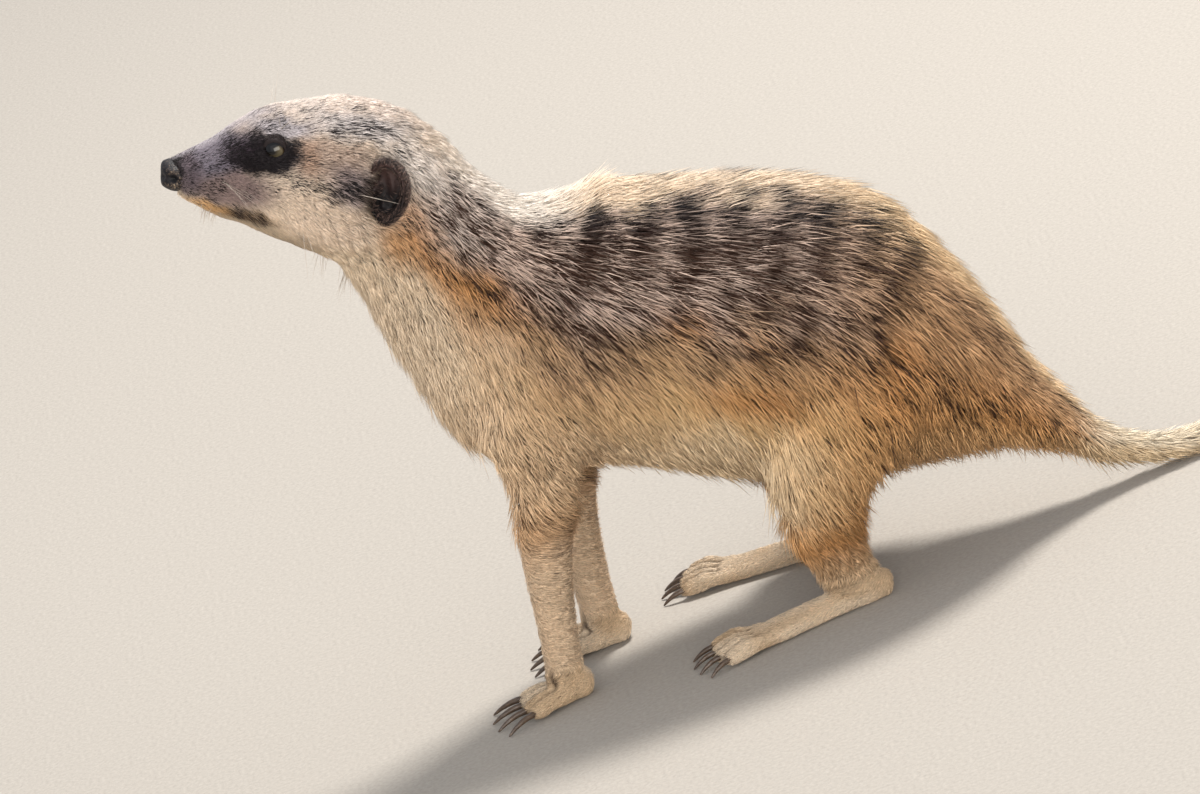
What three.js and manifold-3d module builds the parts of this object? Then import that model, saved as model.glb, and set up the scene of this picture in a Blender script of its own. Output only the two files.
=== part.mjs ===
// A life-size meerkat, standing still on level ground: forelegs straight, haunches low, head up,
// tail laid out behind. Each named part of the body is one closed solid, out to the tips of its coat.
// Units are millimetres. The animal faces -X, its left side is -Y, and +Z is up. The floor is z = 0.

import * as THREE from "three";
import { mergeVertices } from "three/addons/utils/BufferGeometryUtils.js";
import Module from "manifold-3d";

const wasm = await Module();
wasm.setup();

// ---- Driving dimensions ----------------------------------------------------------------------

const CUT = 0.3; // the thin cut left between neighbouring parts
const FLOOR_DEPTH = 60; // thickness of the block that trims the soles flat

// The body as one tube of oval sections, from the tip of the nose to the root of the tail.
// Each row: x and z of the section's centre, half its width, its height above and below the centre.
const BODY = [
  [-51.3, 170.0, 2.2, 2.3, 2.3],
  [-50.7, 169.8, 3.9, 3.6, 3.6],
  [-48.1, 169.0, 5.4, 4.8, 4.9],
  [-43.2, 167.0, 7.6, 7.6, 7.8],
  [-37.2, 165.2, 9.8, 10.0, 10.8],
  [-31.6, 164.0, 12.8, 13.0, 13.2],
  [-26.2, 162.4, 16.2, 16.0, 15.4],
  [-20.2, 160.0, 19.2, 18.2, 17.6],
  [-13.2, 156.4, 21.8, 21.4, 19.8],
  [-5.8, 151.6, 23.4, 23.8, 21.6],
  [1.6, 144.4, 23.4, 24.4, 22.8],
  [8.4, 131.4, 21.6, 24.4, 25.4],
  [17.0, 115.6, 24.0, 29.4, 33.0],
  [31.2, 100.6, 29.5, 38.6, 46.5],
  [50.5, 90.2, 34.0, 41.6, 42.0],
  [70.4, 81.8, 36.5, 43.2, 42.8],
  [89.1, 74.0, 37.5, 44.0, 43.6],
  [106.4, 64.6, 36.0, 41.6, 43.0],
  [122.6, 52.6, 29.5, 29.6, 36.0],
  [135.2, 40.6, 20.0, 18.4, 25.0],
  [144.9, 30.2, 12.8, 11.8, 13.4],
  [154.6, 19.8, 8.2, 7.4, 7.6],
];

// Where the body is parted, as places along BODY's rows, with the rings and sides of each solid.
const BODY_PARTS = [
  { name: "nose", from: 0, to: 2.0, rings: 4, sides: 12 },
  { name: "head", from: 2.0, to: 10.1, rings: 18, sides: 24 },
  { name: "neck", from: 10.1, to: 12.3, rings: 6, sides: 22 },
  { name: "chest", from: 12.3, to: 14.6, rings: 6, sides: 22 },
  { name: "belly", from: 14.6, to: 16.6, rings: 4, sides: 22 },
  { name: "hips", from: 16.6, to: 21.0, rings: 10, sides: 22 },
];

// Soft forms raised or sunk on the body tube: centre, reach and height, mirrored to both sides.
const FORMS = [
  { name: "brow", at: [-21.0, 10.5, 177.5], reach: 5.0, height: 1.5 },
  { name: "eye_socket", at: [-20.6, 15.0, 168.2], reach: 4.6, height: -1.9 },
  { name: "cheek", at: [-13.0, 20.0, 150.0], reach: 8.0, height: 1.6 },
  { name: "muzzle_side", at: [-34.0, 11.0, 164.0], reach: 5.0, height: -0.7 },
  { name: "ear_seat", at: [2.8, 24.0, 151.1], reach: 7.0, height: -1.2 },
  { name: "nape_dip", at: [20.0, 24.0, 140.0], reach: 12.0, height: -1.6 },
  { name: "haunch", at: [104.0, 36.0, 66.0], reach: 20.0, height: 1.6 },
];

// The tail, from its root to its tip: x, y, z and its half thickness.
const TAIL = [
  [154.2, 0.0, 20.2, 7.4],
  [161.5, 0.2, 13.2, 6.0],
  [171.0, 0.8, 7.6, 5.0],
  [184.0, 2.0, 4.5, 4.6],
  [212.0, 7.0, 4.2, 4.3],
  [246.0, 14.0, 3.9, 4.0],
  [280.0, 19.0, 3.6, 3.7],
  [312.0, 20.0, 3.4, 3.5],
  [334.0, 17.5, 3.1, 3.2],
  [345.0, 15.2, 1.6, 1.2],
];
const TAIL_PARTS = [
  { name: "tail_root", from: 0, to: 3, rings: 6, sides: 10 },
  { name: "tail_middle", from: 3, to: 5, rings: 4, sides: 10 },
  { name: "tail_end", from: 5, to: 7, rings: 4, sides: 10 },
  { name: "tail_tip", from: 7, to: 9, rings: 5, sides: 10 },
];

const EYE_RADIUS = 4.2;
const EYE_AT = [-20.0, 8.9, 168.8]; // y is for the right eye
const EAR = { at: [3.8, 21.7, 151.3], long: 7.5, wide: 5.3, tilt: 31, turn: 22 };

// The ear's cup, turned about its outward axis: share of its width, and height along that axis.
const EAR_HOLLOW = [
  [0, -3.6],
  [0.5, -3.2],
  [0.84, -1.7],
  [0.96, 0.2],
  [1.03, 0.5],
];
const EAR_BACK = [
  [1.08, 0.0],
  [1.06, -2.0],
  [0.86, -5.0],
  [0.5, -6.6],
  [0, -7.0],
];

// A foreleg, from the shoulder to the wrist: x, z, distance from the midline, half depth, half width.
const FORELEG = [
  [40.0, 104.0, 13.0, 14.0, 8.0],
  [30.5, 89.0, 18.0, 17.5, 9.6],
  [18.6, 74.0, 20.3, 19.0, 10.0],
  [14.6, 58.0, 18.6, 10.8, 8.6],
  [11.6, 45.0, 17.4, 7.9, 7.3],
  [8.8, 32.0, 16.8, 6.5, 6.3],
  [6.6, 19.0, 16.8, 5.6, 5.7],
  [5.0, 8.0, 17.0, 5.3, 5.7],
];
const FORE_STEP = { left: 0, right: 14.5 }; // how far back each forefoot stands
const FORE_STEP_TOP = 140; // height at which that step has died out in the shoulder

// A hind leg: the thigh and shank from the hip to the hock, in the same terms.
const THIGH = [
  [113.0, 80.0, 15.0, 17.0, 8.0],
  [105.0, 67.0, 24.0, 25.0, 14.6],
  [95.0, 53.0, 26.5, 24.0, 14.0],
  [86.5, 40.0, 27.5, 18.5, 12.5],
  [82.0, 31.0, 27.0, 14.5, 10.5],
];
const SHANK = [
  [84.0, 35.0, 27.0, 13.5, 9.6],
  [82.6, 26.0, 26.4, 12.2, 8.6],
  [83.6, 17.0, 25.4, 10.4, 7.2],
  [86.0, 9.0, 24.4, 8.4, 6.0],
  [86.6, 4.6, 24.2, 6.8, 5.2],
];

// Feet: heel and toe ends of the sole, and the sizes of the foot, its toes and its claws.
const FEET = [
  {
    name: "forefoot",
    heel: { left: [9.6, 16.4], right: [23.8, 16.6] },
    toe: { left: [-9.6, 18.6], right: [4.2, 19.4] },
    heelHeight: 7.4,
    heelWidth: 5.6,
    ballHeight: 6.0,
    ballWidth: 7.0,
    toeLength: 9.5,
    toeRadius: 2.1,
    spread: 18,
    clawLength: 8.5,
    clawRadius: 1.05,
  },
  {
    name: "hindfoot",
    heel: { left: [93.6, 21.6], right: [92.2, 25.0] },
    toe: { left: [43.0, 30.6], right: [41.2, 38.6] },
    heelHeight: 7.6,
    heelWidth: 4.8,
    ballHeight: 5.6,
    ballWidth: 6.8,
    toeLength: 13.0,
    toeRadius: 2.05,
    spread: 12,
    clawLength: 5.6,
    clawRadius: 0.95,
  },
];
const TOES = 4; // on every foot

// ---- Materials -------------------------------------------------------------------------------

const MATERIALS = {
  coat: new THREE.MeshStandardMaterial({ color: 0xb59b7c, roughness: 0.9, metalness: 0 }),
  pale: new THREE.MeshStandardMaterial({ color: 0xd3bd9c, roughness: 0.9, metalness: 0 }),
  dark: new THREE.MeshStandardMaterial({ color: 0x2f2522, roughness: 0.85, metalness: 0 }),
  nose: new THREE.MeshStandardMaterial({ color: 0x17141a, roughness: 0.45, metalness: 0 }),
  eye: new THREE.MeshStandardMaterial({ color: 0x2a1c10, roughness: 0.08, metalness: 0 }),
  claw: new THREE.MeshStandardMaterial({ color: 0x4a3c30, roughness: 0.4, metalness: 0 }),
};

// ---- Solids ----------------------------------------------------------------------------------

// A closed geometry as a manifold solid: vertices are merged, so only their positions stay.
function solidOf(geometry) {
  const bare = geometry.clone();
  bare.deleteAttribute("normal");
  bare.deleteAttribute("uv");
  const merged = mergeVertices(bare, 1e-3);
  return new wasm.Manifold(
    new wasm.Mesh({
      numProp: 3,
      vertProperties: new Float32Array(merged.attributes.position.array),
      triVerts: new Uint32Array(merged.index.array),
    }),
  );
}

function geometryOf(solid) {
  const mesh = solid.getMesh();
  const geometry = new THREE.BufferGeometry();
  geometry.setAttribute("position", new THREE.BufferAttribute(mesh.vertProperties, 3));
  geometry.setIndex(new THREE.BufferAttribute(mesh.triVerts, 1));
  geometry.computeVertexNormals();
  return geometry;
}

// The largest body of a solid, without the crumbs that a cut can leave.
function mainBody(solid) {
  const bodies = solid.decompose();
  return bodies.reduce((best, body) => (body.volume() > best.volume() ? body : best));
}

// A smooth curve through rows of numbers, read at a place counted in rows.
function smoothRows(rows) {
  const last = rows.length - 1;
  const row = (i) => rows[Math.min(Math.max(i, 0), last)];
  return (place) => {
    const i = Math.min(Math.floor(Math.max(place, 0)), last - 1);
    const t = place - i;
    return rows[0].map((_, k) => {
      const [a, b, c, d] = [row(i - 1)[k], row(i)[k], row(i + 1)[k], row(i + 2)[k]];
      const slopeB = (c - a) / 2;
      const slopeC = (d - b) / 2;
      const t2 = t * t;
      const t3 = t2 * t;
      return (
        (2 * t3 - 3 * t2 + 1) * b +
        (t3 - 2 * t2 + t) * slopeB +
        (3 * t2 - 2 * t3) * c +
        (t3 - t2) * slopeC
      );
    });
  };
}

// A tube of oval sections. centre(place) gives a point, size(place) gives {side, up, down}, and
// pear(place) narrows the top of a section and widens its foot. Sections stand square to the path.
function tube({ centre, size, from, to, rings, sides, grow = 0, pear = () => 0, forms = [] }) {
  const positions = [];
  const indices = [];
  const step = 1e-3;
  for (let i = 0; i <= rings; i++) {
    const place = from + ((to - from) * i) / rings;
    const middle = centre(place);
    const along = centre(place + step).sub(centre(place - step)).normalize();
    const side = new THREE.Vector3(0, 1, 0).addScaledVector(along, -along.y).normalize();
    const up = along.clone().cross(side);
    const half = size(place);
    for (let j = 0; j < sides; j++) {
      const angle = (2 * Math.PI * j) / sides;
      const [c, s] = [Math.cos(angle), Math.sin(angle)];
      const width = (half.side + grow) * (1 - pear(place) * s);
      const height = (s > 0 ? half.up : half.down) + grow;
      const out = side.clone().multiplyScalar(c * width).addScaledVector(up, s * height);
      const point = middle.clone().add(out);
      const shift = forms.reduce((sum, form) => sum + formHeight(form, point), 0);
      point.addScaledVector(out.normalize(), shift);
      positions.push(...point.toArray());
    }
  }
  const first = positions.length / 3;
  positions.push(...centre(from).toArray(), ...centre(to).toArray());
  for (let j = 0; j < sides; j++) {
    const next = (j + 1) % sides;
    for (let i = 0; i < rings; i++) {
      const [a, b] = [i * sides + j, i * sides + next];
      const [c, d] = [b + sides, a + sides];
      indices.push(a, b, c, a, c, d);
    }
    indices.push(first, next, j);
    indices.push(first + 1, rings * sides + j, rings * sides + next);
  }
  const geometry = new THREE.BufferGeometry();
  geometry.setAttribute("position", new THREE.Float32BufferAttribute(positions, 3));
  geometry.setIndex(indices);
  return geometry;
}

// How far a soft form lifts a point: a bell about its centre, the same on both sides.
function formHeight(form, point) {
  const [x, y, z] = form.at;
  const away = (point.x - x) ** 2 + (Math.abs(point.y) - y) ** 2 + (point.z - z) ** 2;
  return form.height * Math.exp(-away / (2 * form.reach ** 2));
}

// ---- Head, neck and trunk --------------------------------------------------------------------

const bodyRow = smoothRows(BODY);
const HEAD_ROWS = 10; // the head's sections, which are narrower above than below
const HEAD_PEAR = 0.13;
const TRUNK_PEAR = 0.05;

function bodyShape(place) {
  const [x, z, side, up, down] = bodyRow(place);
  return { point: new THREE.Vector3(x, 0, z), half: { side, up, down } };
}

function bodyPear(place) {
  const inHead = THREE.MathUtils.smoothstep(place, 2, 5);
  const pastHead = THREE.MathUtils.smoothstep(place, HEAD_ROWS - 1, HEAD_ROWS + 2);
  return HEAD_PEAR * inHead * (1 - pastHead) + TRUNK_PEAR * pastHead;
}

function bodyTube(from, to, rings, sides, grow = 0) {
  return tube({
    centre: (place) => bodyShape(place).point,
    size: (place) => bodyShape(place).half,
    from,
    to,
    rings,
    sides,
    grow,
    pear: bodyPear,
    forms: FORMS,
  });
}

// Half a cut as a distance along the rows near a place.
function halfCut(centre, place) {
  const step = 1e-2;
  const rowLength = centre(place + step).distanceTo(centre(place - step)) / (2 * step);
  return CUT / 2 / rowLength;
}

// The solids of one tube, parted by cuts: the two outer ends stay whole.
function partTube(parts, centre, build) {
  const [start, end] = [parts[0].from, parts.at(-1).to];
  return Object.fromEntries(
    parts.map(({ name, from, to, rings, sides }) => {
      const low = from === start ? from : from + halfCut(centre, from);
      const high = to === end ? to : to - halfCut(centre, to);
      return [name, solidOf(build(low, high, rings, sides))];
    }),
  );
}

// ---- Eyes, ears and jaw ----------------------------------------------------------------------

function eyeBall(sign, grow = 0) {
  const [x, y, z] = EYE_AT;
  return solidOf(new THREE.SphereGeometry(EYE_RADIUS + grow, 12, 7).translate(x, sign * y, z));
}

// A shape of the ear's oval outline, turned about its outward axis and set in place on the head.
function earShape(profile, sign, grow) {
  const points = profile.map(([r, h]) => new THREE.Vector2(r, h)).reverse();
  const shape = new THREE.LatheGeometry(points, 12);
  shape.scale(EAR.wide + grow, sign, EAR.long + grow);
  if (sign < 0) reverseFaces(shape);
  shape.translate(0, -sign * grow, 0);
  shape.rotateZ(THREE.MathUtils.degToRad(sign * EAR.turn));
  shape.rotateY(THREE.MathUtils.degToRad(EAR.tilt));
  return solidOf(shape.translate(EAR.at[0], sign * EAR.at[1], EAR.at[2]));
}

// An ear is an oval cup, open outwards and a little forwards, so its back rim stands off the head.
function earCup(sign) {
  return earShape([...EAR_HOLLOW, ...EAR_BACK], sign, 0);
}

// The space that the head and neck leave for an ear: its back, and everything in front of its cup.
function earSpace(sign) {
  return earShape([[0, 9], [1.08, 9], ...EAR_BACK], sign, CUT);
}

function reverseFaces(geometry) {
  const index = geometry.index;
  for (let i = 0; i < index.count; i += 3) {
    const [a, b] = [index.getX(i), index.getX(i + 1)];
    index.setX(i, b);
    index.setX(i + 1, a);
  }
}

// The block of space below the mouth line, from the lips back to the corner of the mouth.
function jawBlock(grow) {
  const outline = new THREE.Shape();
  outline.moveTo(-60, 168.4 + grow);
  outline.lineTo(-49.6, 164.2 + grow);
  outline.quadraticCurveTo(-38.0, 157.4 + grow, -27.4 + grow, 154.2 + grow);
  outline.lineTo(-26.2 + grow, 152.6);
  outline.lineTo(-27.5 + grow, 120);
  outline.lineTo(-60, 120);
  outline.closePath();
  const block = new THREE.ExtrudeGeometry(outline, { depth: 60, bevelEnabled: false, curveSegments: 4 });
  block.rotateX(Math.PI / 2); // the outline stands upright, facing -Y
  return solidOf(block.translate(0, 30, 0));
}

// ---- Legs and feet ---------------------------------------------------------------------------

// A leg as a tube down its rows; the step moves its lower end back without moving the shoulder.
function legTube(rows, sign, { step = 0, stepTop = 1, rings, sides, grow = 0 }) {
  const row = smoothRows(rows);
  const centre = (place) => {
    const [x, z, out] = row(place);
    return new THREE.Vector3(x + step * THREE.MathUtils.clamp(1 - z / stepTop, 0, 1), sign * out, z);
  };
  const size = (place) => {
    const [, , , depth, width] = row(place);
    return { side: width, up: depth, down: depth };
  };
  return solidOf(tube({ centre, size, from: 0, to: rows.length - 1, rings, sides, grow }));
}

// A tapering piece along a curve through points, with a half thickness at each.
function fingerTube(points, radii, rings, sides, grow = 0) {
  const row = smoothRows(points.map((p, i) => [...p.toArray(), radii[i]]));
  const centre = (place) => new THREE.Vector3(...row(place).slice(0, 3));
  const size = (place) => {
    const radius = row(place)[3];
    return { side: radius, up: radius, down: radius };
  };
  const end = points.length - 1;
  return solidOf(tube({ centre, size, from: 0, to: end, rings, sides, grow }));
}

// The points that a foot is laid out from: its sole's line, and each toe's root, direction and tip.
function footPlan(foot, side) {
  const sign = side === "left" ? -1 : 1;
  const at = ([x, y], z) => new THREE.Vector3(x, sign * y, z);
  const heel = at(foot.heel[side], 0);
  const tip = at(foot.toe[side], 0);
  const forward = tip.clone().sub(heel).normalize();
  const across = new THREE.Vector3(-forward.y, forward.x, 0);
  const ball = tip.clone().addScaledVector(forward, -foot.toeLength);
  const toes = Array.from({ length: TOES }, (_, i) => {
    const place = (i - (TOES - 1) / 2) / ((TOES - 1) / 2); // from -1 to 1 across the foot
    const turn = THREE.MathUtils.degToRad(foot.spread * place);
    const way = forward.clone().applyAxisAngle(new THREE.Vector3(0, 0, 1), turn);
    const root = ball.clone().addScaledVector(across, place * foot.ballWidth * 0.78);
    const length = foot.toeLength * (1 - 0.14 * Math.abs(place)); // the middle toes reach furthest
    return { root, way, length };
  });
  return { heel, ball, forward, toes };
}

function toeSolid(foot, { root, way, length }) {
  const up = (point, z) => point.clone().setZ(z);
  const along = (d) => root.clone().addScaledVector(way, d);
  const points = [
    up(along(-foot.toeLength * 0.3), foot.toeRadius * 1.5),
    up(along(0), foot.toeRadius * 1.45),
    up(along(length * 0.5), foot.toeRadius * 1.3),
    up(along(length * 0.9), foot.toeRadius * 0.9),
    up(along(length), foot.toeRadius * 0.8),
  ];
  const radii = [1, 1, 1.04, 0.86, 0.4].map((share) => share * foot.toeRadius);
  return fingerTube(points, radii, 3, 6);
}

// A claw is rooted in the front of its toe and curves down to the ground.
function clawSolid(foot, { root, way, length }, grow = 0) {
  const along = (d, z) => root.clone().addScaledVector(way, d).setZ(z);
  const start = length * 0.82;
  const reach = foot.clawLength + length * 0.18;
  const height = foot.toeRadius * 1.25;
  const points = [
    along(start, height),
    along(start + reach * 0.36, height * 1.02),
    along(start + reach * 0.72, height * 0.66),
    along(start + reach, 0.35),
  ];
  const radii = [1, 0.92, 0.62, 0.26].map((share) => share * foot.clawRadius);
  return fingerTube(points, radii, 3, 5, grow);
}

// The sole and instep: a low tube from the heel to the ball.
function soleSolid(foot, { heel, ball, forward }) {
  const length = heel.distanceTo(ball);
  const row = smoothRows([
    [-1.6, foot.heelHeight * 0.42, foot.heelWidth * 0.45],
    [0, foot.heelHeight * 0.5, foot.heelWidth * 0.86],
    [length * 0.14, foot.heelHeight * 0.52, foot.heelWidth],
    [length * 0.5, (foot.heelHeight + foot.ballHeight) * 0.25, foot.heelWidth * 0.98],
    [length * 0.82, foot.ballHeight * 0.5, foot.ballWidth],
    [length, foot.ballHeight * 0.44, foot.ballWidth * 0.94],
    [length + foot.toeRadius, foot.ballHeight * 0.34, foot.ballWidth * 0.76],
  ]);
  const centre = (place) => {
    const [d, half] = row(place);
    return heel.clone().addScaledVector(forward, d).setZ(half * 0.94);
  };
  const size = (place) => {
    const [, half, width] = row(place);
    return { side: width, up: half, down: half };
  };
  return solidOf(tube({ centre, size, from: 0, to: 6, rings: 6, sides: 10 }));
}

// ---- The whole animal ------------------------------------------------------------------------

const meerkat = new THREE.Group();

function addPart(name, solid, material) {
  const mesh = new THREE.Mesh(geometryOf(mainBody(solid)), MATERIALS[material]);
  mesh.name = name;
  meerkat.add(mesh);
}

const floorBlock = solidOf(
  new THREE.BoxGeometry(600, 200, FLOOR_DEPTH).translate(150, 0, -FLOOR_DEPTH / 2),
);

const bodyCentre = (place) => bodyShape(place).point;
const body = partTube(BODY_PARTS, bodyCentre, bodyTube);
const bodyEnd = BODY_PARTS.at(-1).to;
const wholeBody = solidOf(bodyTube(0, bodyEnd, 50, 22, CUT));
const bodyWithRoom = solidOf(bodyTube(0, bodyEnd, 50, 22, 2 * CUT)); // for the forelegs, cut at a slant

const tailRow = smoothRows(TAIL);
const tailCentre = (place) => new THREE.Vector3(...tailRow(place).slice(0, 3));
const tailTube = (from, to, rings, sides) =>
  tube({
    centre: tailCentre,
    size: (place) => {
      const half = tailRow(place)[3];
      return { side: half, up: half, down: half };
    },
    from,
    to,
    rings,
    sides,
  });
const tail = partTube(TAIL_PARTS, tailCentre, tailTube);

const SIDES = [
  { side: "left", sign: -1 },
  { side: "right", sign: 1 },
];

let head = body.head;
let neck = body.neck;
for (const { side, sign } of SIDES) {
  addPart(`ear_${side}`, earCup(sign), "dark");
  addPart(`eye_${side}`, eyeBall(sign), "eye");
  head = head.subtract(earSpace(sign)).subtract(eyeBall(sign, CUT));
  neck = neck.subtract(earSpace(sign));
}
addPart("nose", body.nose, "nose");
addPart("head", head.subtract(jawBlock(CUT)), "pale");
addPart("lower_jaw", head.intersect(jawBlock(0)), "pale");
addPart("neck", neck, "coat");
for (const name of ["chest", "belly", "hips"]) addPart(name, body[name], "coat");
for (const { name } of TAIL_PARTS) {
  const clear = name === "tail_root" ? tail[name].subtract(wholeBody) : tail[name];
  addPart(name, clear.subtract(floorBlock), name === "tail_tip" ? "dark" : "coat");
}

for (const { side, sign } of SIDES) {
  const stepping = { step: FORE_STEP[side], stepTop: FORE_STEP_TOP };
  const foreleg = { ...stepping, rings: 10, sides: 12 };
  const shank = { rings: 5, sides: 12 };
  const legs = {
    forefoot: legTube(FORELEG, sign, foreleg),
    hindfoot: legTube(SHANK, sign, shank),
  };
  const grownLegs = {
    forefoot: legTube(FORELEG, sign, { ...foreleg, grow: CUT }),
    hindfoot: legTube(SHANK, sign, { ...shank, grow: CUT }),
  };
  const thigh = { rings: 7, sides: 14 };
  const grownThigh = legTube(THIGH, sign, { ...thigh, grow: CUT });
  addPart(`foreleg_${side}`, legs.forefoot.subtract(bodyWithRoom).subtract(floorBlock), "coat");
  addPart(`thigh_${side}`, legTube(THIGH, sign, thigh).subtract(wholeBody), "coat");
  addPart(
    `shank_${side}`,
    legs.hindfoot.subtract(wholeBody).subtract(grownThigh).subtract(floorBlock),
    "coat",
  );
  for (const foot of FEET) {
    const plan = footPlan(foot, side);
    let whole = soleSolid(foot, plan).subtract(grownLegs[foot.name]);
    for (const toe of plan.toes) whole = whole.add(toeSolid(foot, toe));
    plan.toes.forEach((toe, i) => {
      whole = whole.subtract(clawSolid(foot, toe, CUT));
      addPart(`claw_${foot.name}_${side}_${i + 1}`, clawSolid(foot, toe), "claw");
    });
    addPart(`${foot.name}_${side}`, whole.subtract(floorBlock), "pale");
  }
}

// The part's origin is on the floor, under the middle of its box.
const box = new THREE.Box3().setFromObject(meerkat);
const middle = box.getCenter(new THREE.Vector3());
meerkat.position.set(-middle.x, -middle.y, 0);

export default meerkat;
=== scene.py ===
# %% [markdown]
# # A standing meerkat, life size
# The solids give this animal's true outline, out to the tips of its coat. This lesson gives it its
# looks: one skin under the coat, a face with lids, nose and ears, and a coat of small solid tufts
# that lie the way a meerkat's hair lies. Everything is in metres, in the solids' own frame:
# the head points along -X, the animal's left side is -Y, and the floor is z = 0.

import copy
import math

import bpy
import numpy as np
from mathutils import Matrix, Vector


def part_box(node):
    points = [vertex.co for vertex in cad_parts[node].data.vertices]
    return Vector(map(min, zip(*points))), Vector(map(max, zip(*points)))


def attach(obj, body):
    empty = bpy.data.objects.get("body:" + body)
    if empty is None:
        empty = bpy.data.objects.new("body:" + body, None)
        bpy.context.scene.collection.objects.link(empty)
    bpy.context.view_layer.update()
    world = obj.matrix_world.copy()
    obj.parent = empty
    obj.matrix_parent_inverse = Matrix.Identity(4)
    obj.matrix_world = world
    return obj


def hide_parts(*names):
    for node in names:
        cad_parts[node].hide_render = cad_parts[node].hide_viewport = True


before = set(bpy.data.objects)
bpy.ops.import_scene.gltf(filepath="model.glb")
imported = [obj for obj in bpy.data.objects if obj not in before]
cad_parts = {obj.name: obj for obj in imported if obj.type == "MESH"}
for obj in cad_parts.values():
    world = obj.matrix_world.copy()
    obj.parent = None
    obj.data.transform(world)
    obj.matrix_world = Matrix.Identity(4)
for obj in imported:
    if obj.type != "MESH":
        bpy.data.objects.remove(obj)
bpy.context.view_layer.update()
MM = 0.001
SIDES = {"left": -1, "right": 1}  # each side and the sign of its Y

# %% [markdown]
# ## Where things are
# Every place is measured from the solids. A slice of a node, between two shares of its length along
# an axis, gives the middle of a limb at that height, so a leg's line comes from a few slices.

# %% Measuring the solids
FRONT_TO_BACK, HEIGHT = 0, 2
FEET = ("forefoot", "hindfoot")


def read(items, field, kind=float, width=3):
    """One field of a mesh's vertices, edges or triangles, as rows."""
    flat = np.empty(len(items) * width, dtype=kind)
    items.foreach_get(field, flat)
    return flat.reshape(-1, width)


def node_vertices(node):
    """The node's vertices at rest, as rows of x, y, z."""
    return read(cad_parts[node].data.vertices, "co")


def slice_of(node, low=0.0, high=1.0, axis=HEIGHT):
    """The vertices of a node between two shares of its extent along an axis."""
    points = node_vertices(node)
    start, end = points[:, axis].min(), points[:, axis].max()
    share = (points[:, axis] - start) / (end - start)
    return points[(share >= low) & (share <= high)]


def slice_middle(node, low=0.0, high=1.0, axis=HEIGHT):
    """The middle of such a slice's box."""
    part = slice_of(node, low, high, axis)
    return (part.min(axis=0) + part.max(axis=0)) / 2


EYES = {side: slice_middle(f"eye_{side}") for side in SIDES}
EARS = {side: slice_middle(f"ear_{side}") for side in SIDES}
EYE, EAR, NOSE = EYES["right"], EARS["right"], slice_middle("nose")
MIDDLE = NOSE[1]
HEAD_PITCH = math.radians(19.5)
HEAD_BACK = np.array([math.cos(HEAD_PITCH), 0, -math.sin(HEAD_PITCH)])
HEAD_UP = np.array([math.sin(HEAD_PITCH), 0, math.cos(HEAD_PITCH)])
print("eye", EYE.round(4), "ear", EAR.round(4), "nose", NOSE.round(4))


# %% [markdown]
# A body part's line is a smooth curve through such middles; the body's own are a short table. Any
# point of the skin then has a place along the line, s, and an angle round it, so hair, colour and
# coat depth can be functions of both.


# %% Lines through the body and the legs
def unit(rows):
    """Rows scaled to length 1."""
    return rows / np.maximum(np.linalg.norm(rows, axis=-1, keepdims=True), 1e-9)


def distance(rows, place):
    """How far each row is from a place, or from its own row of places."""
    return np.linalg.norm(rows - place, axis=1)


def smooth_curve(points, steps=14):
    """A curve through points: p(t) = Catmull-Rom blend of four neighbours, steps per stretch."""
    p = np.array(points)
    p = np.vstack([2 * p[0] - p[1], p, 2 * p[-1] - p[-2]])
    t = np.linspace(0, 1, steps, endpoint=False)[None, :, None]
    a, b, c, d = (p[i : len(p) - 3 + i, None, :] for i in range(4))
    bend = (c - a) * t + (2 * a - 5 * b + 4 * c - d) * t**2 + (3 * b - a - 3 * c + d) * t**3
    return np.vstack([(b + bend / 2).reshape(-1, 3), p[-2]])


class Line:
    """A curve with its length along it, its directions, and a half thickness that changes evenly."""

    def __init__(self, points, radii=(0, 0)):
        self.points = smooth_curve(points)
        steps = distance(self.points[1:], self.points[:-1])
        self.s = np.concatenate([[0], np.cumsum(steps)])
        self.tangent = unit(np.gradient(self.points, self.s, axis=0))
        knots = np.linspace(0, self.s[-1], len(radii))
        self.radius = np.interp(self.s, knots, radii)

    def nearest(self, points):
        """For each point, the index of the nearest place on the line: least |c|^2 - 2 p.c."""
        square = (self.points**2).sum(axis=1)
        return np.argmin(square[None, :] - 2 * points @ self.points.T, axis=1)

    def gap(self, points):
        """How far each point is outside the line's own thickness; negative is inside."""
        i = self.nearest(points)
        return distance(points, self.points[i]) - self.radius[i]


# How far behind the nose's tip and how high the body's middle runs, in mm, from nose to tail root.
BODY_MIDDLE = [[0.5, 168.7], [9, 167], [20.5, 164], [32, 160], [46, 151.6], [54, 143], [61, 130.5]]
BODY_MIDDLE += [[70, 115], [84, 100.5], [103, 90], [122.5, 82], [141, 74], [158.5, 64.5]]
BODY_MIDDLE += [[174.5, 52.5], [187.5, 40.5], [197, 30], [205, 21.5]]
NOSE_TIP = slice_of("nose")[:, 0].min()
TAIL_SLICES = [("tail_root", 0.3, 0.5), ("tail_root", 0.8, 1), ("tail_middle", 0, 1)]
TAIL_SLICES += [("tail_end", 0, 1), ("tail_tip", 0, 1), ("tail_tip", 0.9, 1)]
middles = [[NOSE_TIP + back * MM, MIDDLE, height * MM] for back, height in BODY_MIDDLE]
middles += [slice_middle(node, low, high, FRONT_TO_BACK) for node, low, high in TAIL_SLICES]
spine = Line(middles)


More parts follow.
